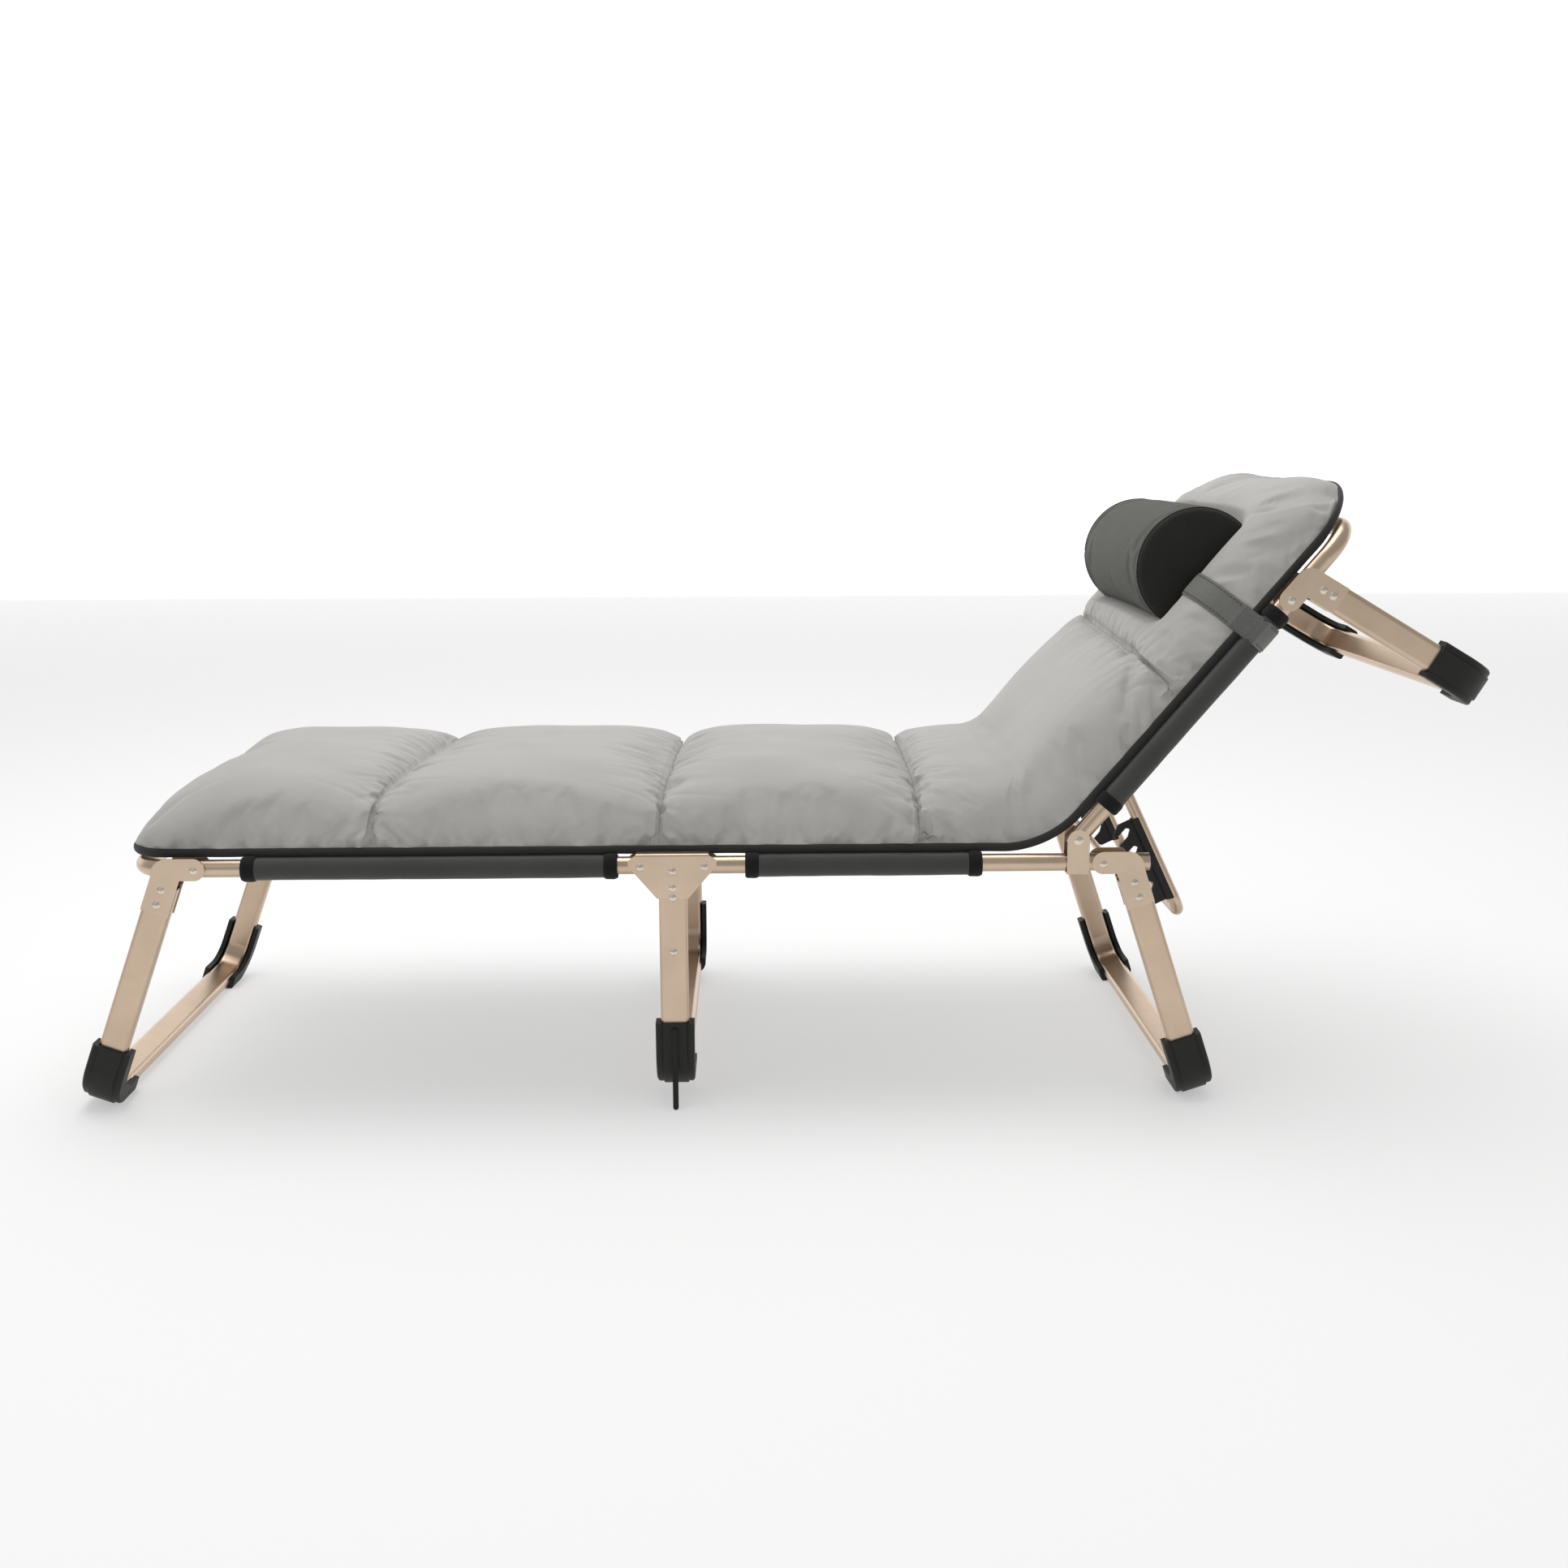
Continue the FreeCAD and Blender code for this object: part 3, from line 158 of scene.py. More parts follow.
def on_rail(body, along, y, height):
    """A point above the rail's axis: along is from the middle leg, or from the back pivot."""
    if body == "back":
        cosine, sine = math.cos(BACK_ANGLE), math.sin(BACK_ANGLE)
        return (PIVOT_X + along * cosine - height * sine, y,
                PIVOT_Z + along * sine + height * cosine)
    return (MIDDLE + along, y, RAIL_Z + height)


# ---------------------------------------------------------------- meshes

def new_object(name, points, faces, material, uvs=None):
    mesh = bpy.data.meshes.new(name)
    mesh.from_pydata([tuple(map(float, p)) for p in points], [], faces)
    shape = bmesh.new()
    shape.from_mesh(mesh)
    bmesh.ops.recalc_face_normals(shape, faces=shape.faces)
    shape.to_mesh(mesh)
    shape.free()
    mesh.polygons.foreach_set("use_smooth", [True] * len(mesh.polygons))
    if uvs is not None:
        layer = mesh.uv_layers.new(name="metres")
        corner_points = np.zeros(len(mesh.loops), int)
        mesh.loops.foreach_get("vertex_index", corner_points)
        layer.data.foreach_set("uv", np.asarray(uvs, np.float32)[corner_points].ravel())
    mesh.materials.append(material)
    mesh.update()
    thing = bpy.data.objects.new(name, mesh)
    bpy.context.scene.collection.objects.link(thing)
    return thing


def grid_faces(rows, columns, wrap):
    """Faces of a grid of points; wrap joins its last column to its first."""
    faces = []
    for i in range(rows - 1):
        for j in range(columns if wrap else columns - 1):
            k = (j + 1) % columns
            a, b = i * columns, (i + 1) * columns
            faces.append((a + j, b + j, b + k, a + k))
    return faces


def tube_mesh(path, radius_out, radius_up, sides=10):
    """Points and faces of a closed tube with an oval section along a path."""
    path = np.asarray(path, float)
    along = np.gradient(path, axis=0)
    along /= np.linalg.norm(along, axis=1)[:, None]
    up = np.array([0.0, 0.0, 1.0])
    out = np.cross(along, up)
    out /= np.maximum(np.linalg.norm(out, axis=1), 1e-9)[:, None]
    rise = np.cross(out, along)
    turn = np.linspace(0, 2 * math.pi, sides, endpoint=False)
    ring = (out[:, None, :] * np.cos(turn)[None, :, None] * radius_out
            + rise[:, None, :] * np.sin(turn)[None, :, None] * radius_up)
    points = (path[:, None, :] + ring).reshape(-1, 3)
    faces = grid_faces(len(path), sides, wrap=True)
    faces.append(tuple(range(sides))[::-1])
    last = (len(path) - 1) * sides
    faces.append(tuple(last + i for i in range(sides)))
    return points, faces


def gather(parts):
    """Several (points, faces) as one."""
    points, faces, count = [], [], 0
    for part_points, part_faces in parts:
        points.append(np.asarray(part_points))
        faces += [tuple(i + count for i in face) for face in part_faces]
        count += len(part_points)
    return np.concatenate(points), faces


def stitches(path, spacing=0.0058, length=0.0036, radius=0.0006):
    """A row of short thread stitches along a path."""
    path = np.asarray(path, float)
    steps = np.linalg.norm(np.diff(path, axis=0), axis=1)
    distance = np.concatenate([[0], np.cumsum(steps)])
    parts = []
    for start in np.arange(spacing, distance[-1] - spacing, spacing):
        places = [start, start + length / 2, start + length]
        line = np.stack([np.interp(places, distance, path[:, k]) for k in range(3)], axis=1)
        parts.append(tube_mesh(line, radius, radius, sides=5))
    return gather(parts)


def swell(thing, pinned, pressure, growth, cap):
    """Inflates a mesh with Cloth, holds the pinned points and caps how far any point moves."""
    group = thing.vertex_groups.new(name="pinned")
    group.add([int(i) for i in pinned], 1.0, "REPLACE")
    cloth = thing.modifiers.new("cloth", "CLOTH")
    cloth.settings.vertex_group_mass = "pinned"
    cloth.settings.use_pressure = True
    cloth.settings.uniform_pressure_force = pressure
    cloth.settings.shrink_min = -growth
    cloth.settings.effector_weights.gravity = 0
    cloth.settings.bending_stiffness = 0.2
    cloth.collision_settings.use_collision = False
    cloth.point_cache.frame_start = 1
    cloth.point_cache.frame_end = SWELL_FRAMES
    for number in range(1, SWELL_FRAMES + 1):
        bpy.context.scene.frame_set(number)
    shown = thing.evaluated_get(bpy.context.evaluated_depsgraph_get())
    count = len(thing.data.vertices)
    before, after = np.zeros(count * 3), np.zeros(count * 3)
    thing.data.vertices.foreach_get("co", before)
    shown.data.vertices.foreach_get("co", after)
    thing.modifiers.remove(cloth)
    thing.vertex_groups.remove(group)
    bpy.context.scene.frame_set(1)
    before, after = before.reshape(-1, 3), after.reshape(-1, 3)
    move = after - before
    size = np.linalg.norm(move, axis=1)
    limited = cap * np.tanh(size / cap)
    return before + move * (limited / np.maximum(size, 1e-9))[:, None]


def ripple(a, b, seed):
    """Smooth repeatable noise, about -1 to 1, at each pair of places."""
    return np.array([noise.noise(Vector((p, q, seed))) for p, q in zip(a.ravel(), b.ravel())]
                    ).reshape(a.shape) * 1.7


# ---------------------------------------------------------------- materials

def shader(name, color, roughness, **values):
    """A new material; returns it, its nodes' maker, its linker and its shader node."""
    material = bpy.data.materials.new(name)
    material.use_nodes = True
    nodes, links = material.node_tree.nodes, material.node_tree.links
    surface = nodes["Principled BSDF"]
    surface.inputs["Base Color"].default_value = (*color, 1)
    surface.inputs["Roughness"].default_value = roughness
    for key, value in values.items():
        surface.inputs[key.replace("_", " ")].default_value = value
    material.diffuse_color = (*color, 1)
    return material, nodes, links, surface


def place_node(nodes, links, kind, scale):
    source = nodes.new("ShaderNodeTexCoord")
    mapping = nodes.new("ShaderNodeMapping")
    mapping.inputs["Scale"].default_value = scale
    links.new(source.outputs[kind], mapping.inputs["Vector"])
    return mapping.outputs["Vector"]


def noise_node(nodes, links, place, scale, detail=4, roughness=0.55):
    texture = nodes.new("ShaderNodeTexNoise")
    texture.inputs["Scale"].default_value = scale
    texture.inputs["Detail"].default_value = detail
    texture.inputs["Roughness"].default_value = roughness
    links.new(place, texture.inputs["Vector"])
    return texture.outputs["Fac"]


def wave_node(nodes, links, place, scale, direction):
    texture = nodes.new("ShaderNodeTexWave")
    texture.bands_direction = direction
    texture.inputs["Scale"].default_value = scale
    texture.inputs["Distortion"].default_value = 0.35
    texture.inputs["Detail"].default_value = 1
    links.new(place, texture.inputs["Vector"])
    return texture.outputs["Fac"]


def spread(nodes, links, value, low, high):
    """The value, from 0 to 1, as a number from low to high."""
    node = nodes.new("ShaderNodeMapRange")
    node.inputs["From Min"].default_value = 0.25
    node.inputs["From Max"].default_value = 0.75
    node.inputs["To Min"].default_value = low
    node.inputs["To Max"].default_value = high
    links.new(value, node.inputs["Value"])
    return node.outputs["Result"]


def tint(nodes, links, value, dark, light, target):
    ramp = nodes.new("ShaderNodeValToRGB")
    ramp.color_ramp.elements[0].position = 0.3
    ramp.color_ramp.elements[1].position = 0.7
    ramp.color_ramp.elements[0].color = (*dark, 1)
    ramp.color_ramp.elements[1].color = (*light, 1)
    links.new(value, ramp.inputs["Fac"])
    links.new(ramp.outputs["Color"], target)


def blended(nodes, links, first, second, how="ADD"):
    node = nodes.new("ShaderNodeMath")
    node.operation = how
    links.new(first, node.inputs[0])
    links.new(second, node.inputs[1])
    return node.outputs["Value"]


def bump(nodes, links, height, surface, distance, strength=1.0, under=None):
    node = nodes.new("ShaderNodeBump")
    node.inputs["Distance"].default_value = distance
    node.inputs["Strength"].default_value = strength
    links.new(height, node.inputs["Height"])
    if under is not None:
        links.new(under, node.inputs["Normal"])
    links.new(node.outputs["Normal"], surface.inputs["Normal"])
    return node.outputs["Normal"]


def shades(color, amount):
    return tuple(c * (1 - amount) for c in color), tuple(min(1, c * (1 + amount)) for c in color)


def woven(name, color, thread, roughness=0.85, sheen=0.3, variation=0.1, kind="UV", relief=0.0003):
    """Woven cloth: crossed threads, soft mottling and fine slubs."""
    material, nodes, links, surface = shader(name, color, roughness, Sheen_Weight=sheen,
                                             Sheen_Roughness=0.5, Specular_IOR_Level=0.2)
    place = place_node(nodes, links, kind, (1, 1, 1))
    mottle = noise_node(nodes, links, place, 9, detail=6)
    slub = noise_node(nodes, links, place, 700, detail=2)
    dark, light = shades(color, variation)
    tint(nodes, links, mottle, dark, light, surface.inputs["Base Color"])
    warp = wave_node(nodes, links, place, 1 / thread / 6.28, "X")
    weft = wave_node(nodes, links, place, 1 / thread / 6.28, "Y")
    cloth = blended(nodes, links, warp, weft, "MAXIMUM")
    coarse = bump(nodes, links, slub, surface, relief)
    bump(nodes, links, cloth, surface, relief, 0.6, under=coarse)
    links.new(spread(nodes, links, slub, roughness - 0.07, min(1, roughness + 0.07)),
              surface.inputs["Roughness"])
    return material


def brushed_metal(name, color, roughness, grain):
    """Satin anodised metal: fine draw lines, faint mottling and handling marks."""
    material, nodes, links, surface = shader(name, color, roughness, Metallic=1.0)
    lines = noise_node(nodes, links, place_node(nodes, links, "Object", grain), 60, detail=3)
    marks = noise_node(nodes, links, place_node(nodes, links, "Object", (1, 1, 1)), 14, detail=8)
    dark, light = shades(color, 0.07)
    tint(nodes, links, marks, dark, light, surface.inputs["Base Color"])
    mixed = blended(nodes, links, lines, marks, "MULTIPLY")
    links.new(spread(nodes, links, mixed, roughness - 0.03, roughness + 0.09),
              surface.inputs["Roughness"])
    bump(nodes, links, lines, surface, 0.00002, 0.3)
    return material


def moulded_plastic(name, color, roughness, grain=900.0):
    """Moulded plastic or rubber: a fine grain, faint scuffs and uneven gloss."""
    material, nodes, links, surface = shader(name, color, roughness, Specular_IOR_Level=0.3)
    place = place_node(nodes, links, "Object", (1, 1, 1))
    scuffs = noise_node(nodes, links, place, 35, detail=9, roughness=0.7)
    fine = noise_node(nodes, links, place, grain, detail=2)
    dark, light = shades(color, 0.25)
    tint(nodes, links, scuffs, dark, light, surface.inputs["Base Color"])
    links.new(spread(nodes, links, scuffs, roughness - 0.08, roughness + 0.12),
              surface.inputs["Roughness"])
    bump(nodes, links, fine, surface, 0.00015, 0.6)
    return material


MATERIALS = {
    "tube_aluminium": brushed_metal("tube_aluminium", (0.61, 0.475, 0.355), 0.33, (0.3, 3, 3)),
    "plate_metal": brushed_metal("plate_metal", (0.65, 0.515, 0.39), 0.36, (2, 2, 2)),
    "rivet_steel": brushed_metal("rivet_steel", (0.74, 0.66, 0.57), 0.26, (4, 4, 4)),
    "shoe_plastic": moulded_plastic("shoe_plastic", (0.013, 0.013, 0.011), 0.50),
    "plug_plastic": moulded_plastic("plug_plastic", (0.014, 0.014, 0.014), 0.5),
    "peg_rubber": moulded_plastic("peg_rubber", (0.016, 0.016, 0.015), 0.72, 500.0),
    "rack_plastic": moulded_plastic("rack_plastic", (0.018, 0.018, 0.017), 0.48),
    "sleeve_cloth": woven("sleeve_cloth", (0.058, 0.060, 0.055), 0.0009, sheen=0.25),
    "band_cloth": woven("band_cloth", (0.008, 0.008, 0.008), 0.0016, sheen=0.1,
                        variation=0.2, relief=0.0005),
    "mat_cloth": woven("mat_cloth", (0.47, 0.46, 0.44), 0.0007, roughness=0.9, sheen=0.35,
                       variation=0.045, relief=0.00018),
    "pillow_cloth": woven("pillow_cloth", (0.083, 0.086, 0.075), 0.0009, roughness=0.9,
                          sheen=0.12, variation=0.07),
    "pillow_end": woven("pillow_end", (0.022, 0.023, 0.020), 0.0012, roughness=0.95, sheen=0.08),
    "strap_webbing": woven("strap_webbing", (0.175, 0.178, 0.164), 0.0018, sheen=0.2,
                           variation=0.1, relief=0.0006),
    "binding": woven("binding", (0.032, 0.033, 0.031), 0.0011, sheen=0.15, relief=0.0004),
    "thread": woven("thread", (0.22, 0.22, 0.21), 0.0006, sheen=0.2, kind="Object"),
}


def paint_cad():
    slots = {part["node"]: part["material_slot"] for part in frame["record"]["subparts"]}
    for name, thing in frame["nodes"].items():
        thing.data.materials.clear()
        thing.data.materials.append(MATERIALS[slots[name]])


# ---------------------------------------------------------------- camera, light and floor

def add_camera():
    data = bpy.data.cameras.new("camera")
    data.lens = LENS
    data.sensor_width = 36
    thing = bpy.data.objects.new("camera", data)
    turn = (Matrix.Rotation(-CAMERA_YAW, 4, "Z")
            @ Matrix.Rotation(math.pi / 2 - CAMERA_PITCH, 4, "X")
            @ Matrix.Rotation(CAMERA_ROLL, 4, "Z"))
    thing.matrix_world = Matrix.Translation(CAMERA_PLACE) @ turn
    bpy.context.scene.collection.objects.link(thing)
    bpy.context.scene.camera = thing


def add_light(name, place, aim, size, power):
    data = bpy.data.lights.new(name, "AREA")
    data.size = size
    data.energy = power
    thing = bpy.data.objects.new(name, data)
    thing.location = place
    thing.rotation_euler = (Vector(aim) - Vector(place)).to_track_quat("-Z", "Y").to_euler()
    bpy.context.scene.collection.objects.link(thing)


def add_studio():
    scene = bpy.context.scene
    scene.view_settings.view_transform = "Standard"
    world = bpy.data.worlds.new("studio")
    world.use_nodes = True
    world.node_tree.nodes["Background"].inputs["Color"].default_value = (1, 1, 1, 1)
    world.node_tree.nodes["Background"].inputs["Strength"].default_value = 0.45
    scene.world = world
    add_light("overhead", (-0.3, 0.5, 3.4), (0, 0, 0.3), 3.0, 62)
    add_light("front", (-2.4, -2.6, 2.6), (0, 0, 0.4), 1.4, 3.5)
    pale = (0.60, 0.60, 0.60)
    ground = shader("floor", pale, 0.9, Specular_IOR_Level=0.05, Emission_Color=(1, 1, 1, 1),
                    Emission_Strength=0.42)[0]
    wall = shader("backdrop", pale, 0.9, Specular_IOR_Level=0.0, Emission_Color=(1, 1, 1, 1),
                  Emission_Strength=0.80)[0]
    side, far, tall = 30.0, 8.0, 9.0
    corners = [(-side, -side, 0), (side, -side, 0), (side, far, 0), (-side, far, 0)]
    upper = [(-side, far, 0), (side, far, 0), (side, far, tall), (-side, far, tall)]
    new_object("floor", corners, [(0, 1, 2, 3)], ground)
    new_object("backdrop", upper, [(0, 1, 2, 3)], wall)


# ---------------------------------------------------------------- mat

def half_width(s):
    """The mat's half width: round corners at both ends."""
    result = MAT_HALF
    for distance, (along, across) in ((s - FOOT_END, FOOT_CORNER), (HEAD_END - s, HEAD_CORNER)):
        share = np.clip(1 - distance / along, 0, 1)
        result = result - across * (1 - np.sqrt(1 - share**2))
    return result


def crowned(share):
    return np.power(np.clip(1 - np.abs(2 * share - 1)**2.6, 0, 1), 0.6)


def thickness(s):
    """The mat's thickness along its line: a crown in each panel and a valley at each seam."""
    first, second, third, fourth = SEAMS
    panels = (
        (FOOT_END, first, PANEL_CROWN, 1.0), (first, second, PANEL_CROWN, 1.0),
        (second, third, PANEL_CROWN, 1.0), (third, fourth, PANEL_CROWN, 0.9),
        (fourth, HEAD_END, HEAD_CROWN, 0.55),
    )
    result = np.full(np.shape(s), SEAM_DEPTH)
    for start, end, crown, skew in panels:
        inside = (s >= start) & (s <= end)
        share = np.clip((s - start) / (end - start), 0, 1)**skew
        if start == FOOT_END:
            share = np.maximum(share, 0.5)
        if end == HEAD_END:
            share = np.minimum(share, 0.62)
        result = np.where(inside, SEAM_DEPTH + (crown - SEAM_DEPTH) * crowned(share), result)
    return result * end_roll(s)


def end_roll(s):
    """How the mat's thickness falls to its hem at both ends."""
    result = 1
    for distance, (reach, fullness) in ((s - FOOT_END, FOOT_ROLL), (HEAD_END - s, HEAD_ROLL)):
        result = result * (1 - (1 - np.clip(distance / reach, 0, 1))**2.2)**fullness
    return result


def seam_slant(s):
    return np.interp(s, (FOOT_END, *SEAMS, HEAD_END), (0, *SEAM_SLANTS, 0))


def mat_rows():
    """Values of s, evenly spaced in each panel, with a row on each seam."""
    rows, seam_rows = [FOOT_END], []
    for end in (*SEAMS, HEAD_END):
        count = max(2, round((end - rows[-1]) / CELL))
        rows += list(np.linspace(rows[-1], end, count + 1)[1:])
        seam_rows.append(len(rows) - 1)
    return np.array(rows), seam_rows[:-1]


def mat_shape():
    """Rows of closed rings round the mat, as s, y and height, before it is stuffed."""
    rows, seam_rows = mat_rows()
    fine = np.linspace(-CURL, CURL, 2001)
    across = np.sign(np.sin(fine)) * np.abs(np.sin(fine))**(2 / SIDE_POWER)
    upward = np.sign(np.cos(fine)) * np.abs(np.cos(fine))**(2 / TOP_POWER)
    upward = (upward - upward[0]) / (1 - upward[0])
    shape = np.zeros((len(rows), TOP_COLUMNS + UNDER_COLUMNS, 3))
    depths, halves = np.maximum(thickness(rows), LEAST_DEPTH), half_width(rows)
    for i, s in enumerate(rows):
        y, height = across * halves[i], upward * depths[i]
        length = np.concatenate([[0], np.cumsum(np.hypot(np.diff(y), np.diff(height)))])
        even = np.linspace(0, length[-1], TOP_COLUMNS)
        y, height = np.interp(even, length, y), np.interp(even, length, height)
        under = np.linspace(y[-1], y[0], UNDER_COLUMNS + 2)[1:-1]
        ring_y = np.concatenate([y, under])
        shape[i, :, 0] = s + seam_slant(s) * ring_y / MAT_HALF
        shape[i, :, 1] = ring_y
        shape[i, :, 2] = np.concatenate([height, np.zeros(UNDER_COLUMNS)])
    return shape, seam_rows


def finer(grid, wrap):
    """Doubles the rows of a grid with a smooth curve through its points."""
    padded = (np.concatenate([grid[-1:], grid, grid[:2]]) if wrap
              else np.concatenate([2 * grid[:1] - grid[1:2], grid, 2 * grid[-1:] - grid[-2:-1]]))
    between = (9 * (padded[1:-2] + padded[2:-1]) - padded[:-3] - padded[3:]) / 16
    if wrap:
        result = np.empty((2 * len(grid), *grid.shape[1:]))
        result[0::2], result[1::2] = grid, between[:len(grid)]
    else:
        result = np.empty((2 * len(grid) - 1, *grid.shape[1:]))
        result[0::2], result[1::2] = grid, between
    return result


def grid_normals(grid):
    """Outward normals of rings that cross the mat's top towards +Y."""
    along = np.gradient(grid, axis=0)
    across = np.roll(grid, -1, axis=1) - np.roll(grid, 1, axis=1)
    normals = np.cross(along, across)
    return normals / np.maximum(np.linalg.norm(normals, axis=2), 1e-9)[..., None]


def creases(a, b, seed, width=2.4):
    """Thin folds along the zero lines of a noise: 1 on a fold and 0 between folds."""
    return np.clip(1 - width * np.abs(ripple(a, b, seed)), 0, 1)**1.3


def wrinkles(s, y, height):
    """Small folds: gathers at the seams and the hem, and slow waves in the cloth."""
    slow, gathered, long_gathered, fold, stitched = 0.0022, 0.0016, 0.0022, 0.0030, 0.0040
    corner_wave, corner_fold, hem_fine, hem_fold, hem_slow = 0.0050, 0.0040, 0.0034, 0.0060, 0.0034
    total = slow * ripple(s / 0.13, y / 0.10, 3.0)
    edge = 1 - np.clip((MAT_HALF - np.abs(y)) / 0.08, 0, 1)
    for number, (seam, slant) in enumerate(zip(SEAMS, SEAM_SLANTS)):
        away = s - seam - slant * y / MAT_HALF
        gathers = ripple((y + 0.35 * away) / 0.016, away / 0.09, 11.0 + number)
        folds = creases((y + 0.25 * away) / 0.030, away / 0.16, 16.0 + number)
        long_gathers = ripple((y - 0.5 * away) / 0.034, away / 0.14, 21.0 + number)
        near = np.exp(-np.abs(away) / 0.026)
        wide = np.exp(-(away / 0.070)**2)
        patch = 0.6 + 0.4 * ripple(y / 0.09, np.full_like(y, seam), 31.0)
        total += (gathered * near * gathers + long_gathered * wide * long_gathers) * patch
        total -= fold * wide * folds * (0.35 + 0.65 * patch)
        total -= stitched * np.exp(-(away / 0.0045)**2)
        corner = np.exp(-(away / 0.055)**2) * edge
        total += corner_wave * corner * ripple(away / 0.022, height / 0.06, 41.0 + number)
        total -= (corner_fold * corner
                  * creases(away / 0.050, height / 0.050, 46.0 + number, 1.8))
    hem = np.exp(-height / 0.030) * edge
    total += hem_fine * hem * ripple(s / 0.026, height / 0.12, 51.0)
    total -= hem_fold * hem * creases(s / 0.050, height / 0.10, 56.0)
    total += hem_slow * np.exp(-height / 0.050) * edge * ripple(s / 0.065, height / 0.10, 61.0)
    return total * np.clip(height / 0.010, 0, 1)


def mat_surface():
    """The stuffed mat as a fine grid, its s, y and height, and the rows of its seams."""
    shape, seam_rows = mat_shape()
    grid = on_line(shape[..., 0], shape[..., 1], shape[..., 2])
    rows, columns = grid.shape[:2]
    trial = new_object("trial_mat", grid.reshape(-1, 3), grid_faces(rows, columns, True),
                       MATERIALS["mat_cloth"])
    held = [i * columns + j for i in range(rows) for j in range(columns)
            if i in (0, rows - 1, *seam_rows) or j < 2 or j > TOP_COLUMNS - 3]
    grid = swell(trial, held, 4.0, 0.045, 0.010).reshape(rows, columns, 3)
    bpy.data.objects.remove(trial)
    fine = finer(np.swapaxes(finer(grid, False), 0, 1), True).swapaxes(0, 1)
    places = finer(np.swapaxes(finer(shape, False), 0, 1), True).swapaxes(0, 1)
    s, y, height = places[..., 0], places[..., 1], places[..., 2]
    on_top = np.zeros(fine.shape[1])
    on_top[:2 * TOP_COLUMNS - 1] = 1
    lift = wrinkles(s, y, height) * on_top
    fine = fine + grid_normals(fine) * lift[..., None]
    sink_under_pillow(fine, s, y)
    return fine, places, [2 * row for row in seam_rows]


def sink_under_pillow(grid, s, y):
    """Presses the mat down where the pillow lies on it."""
    away = np.abs(s + BACK_SHIFT - PILLOW_REACH)
    inside = (np.clip((PRESS_SIDE - np.abs(y)) / PRESS_FADE, 0, 1)
              * np.clip((PRESS_REACH - away) / PRESS_FADE, 0, 1))
    outward = np.array([-math.sin(BACK_ANGLE), 0, math.cos(BACK_ANGLE)])
    level = (grid - np.array([PIVOT_X, 0, PIVOT_Z])) @ outward
    excess = np.maximum(level - PILLOW_BASE + 0.001, 0) * (s > BEND_START + BEND_LENGTH)
    grid -= outward * (excess * inside)[..., None]


def hem_wave(places, second, third):
    return np.array([noise.noise(Vector((v / HEM_WAVE_LENGTH, second, third))) for v in places])


def hem_path(side, s):
    """Along one side of the mat, at its lower edge."""
    wave = hem_wave(s, side, 7.0)
    out = half_width(s) + HEM_GAP + HEM_WAVE_OUT * wave
    return on_line(s, side * out, HEM_RISE + HEM_WAVE_UP * wave)


def end_path(s, corner):
    """Across an end of the mat, from one round corner to the other."""
    y = np.linspace(-1, 1, HEM_END_POINTS) * (MAT_HALF - corner[1])
    return on_line(s, y, HEM_RISE + HEM_WAVE_UP * hem_wave(y, s, 9.0))


def hem_rows(start, end):
    """Values of s along the hem, evenly spaced from start to end."""
    return np.linspace(start, end, max(2, round(abs(end - start) / CELL)))


def corner_rows(end, reach):
    """Values of s round a corner, from the mat's end over the signed reach."""
    turn = np.linspace(0, math.pi / 2, HEM_CORNER_POINTS)
    return end + reach * (1 - np.cos(turn))


def add_mat():
    grid, places, seam_rows = mat_surface()
    foot_last, seat_last = seam_rows[1], seam_rows[2]
    ranges = {"foot": (0, foot_last), "seat": (foot_last, seat_last),
              "back": (seat_last, len(grid) - 1)}
    pads = {"foot": "pad_foot", "seat": "pad_seat", "back": "pad_back"}
    columns = grid.shape[1]
    ring_length = np.arange(columns) * CELL / 2
    for name, (start, end) in ranges.items():
        part = grid[start:end + 1]
        rows = len(part)
        faces = grid_faces(rows, columns, True)
        faces.append(tuple(range(columns))[::-1])
        faces.append(tuple((rows - 1) * columns + j for j in range(columns)))
        uvs = np.stack([places[start:end + 1, :, 0],
                        np.broadcast_to(ring_length, (rows, columns))], axis=-1)
        mat = new_object("mat_" + name, part.reshape(-1, 3), faces, MATERIALS["mat_cloth"],
                         uvs.reshape(-1, 2))
        finish_cloth(mat)
        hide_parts(pads[name])
        hem = new_object("mat_binding_" + name, *gather(hem_parts(name)), MATERIALS["binding"])
        finish_cloth(hem)
    for number, row in enumerate(seam_rows):
        name = "foot" if number < 2 else "back"
        line = grid[row, 12:2 * TOP_COLUMNS - 13]
        threads = new_object("mat_stitches_%d" % (number + 1), *stitches(line),
                             MATERIALS["thread"])
        finish_cloth(threads)
    return grid, places


def finish_cloth(piece):
    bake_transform(piece)


def hem_parts(name):
    """The tubes of the binding along one part of the mat."""
    if name == "seat":
        rows = hem_rows(SEAMS[1], SEAMS[2])
        return [tube_mesh(hem_path(side, rows), HEM_OUT, HEM_UP) for side in (-1, 1)]
    if name == "foot":
        end, inward, seam, corner = FOOT_END, 1, SEAMS[1], FOOT_CORNER
    else:
        end, inward, seam, corner = HEAD_END, -1, SEAMS[2], HEAD_CORNER
    rows = corner_rows(end, inward * corner[0])
    rows = np.concatenate([rows, hem_rows(rows[-1], seam)[1:]])
    path = np.concatenate([hem_path(-1, rows[::-1]), end_path(end, corner)[1:-1],
                           hem_path(1, rows)])
    return [tube_mesh(path, HEM_OUT, HEM_UP)]


# ---------------------------------------------------------------- slings and their bands

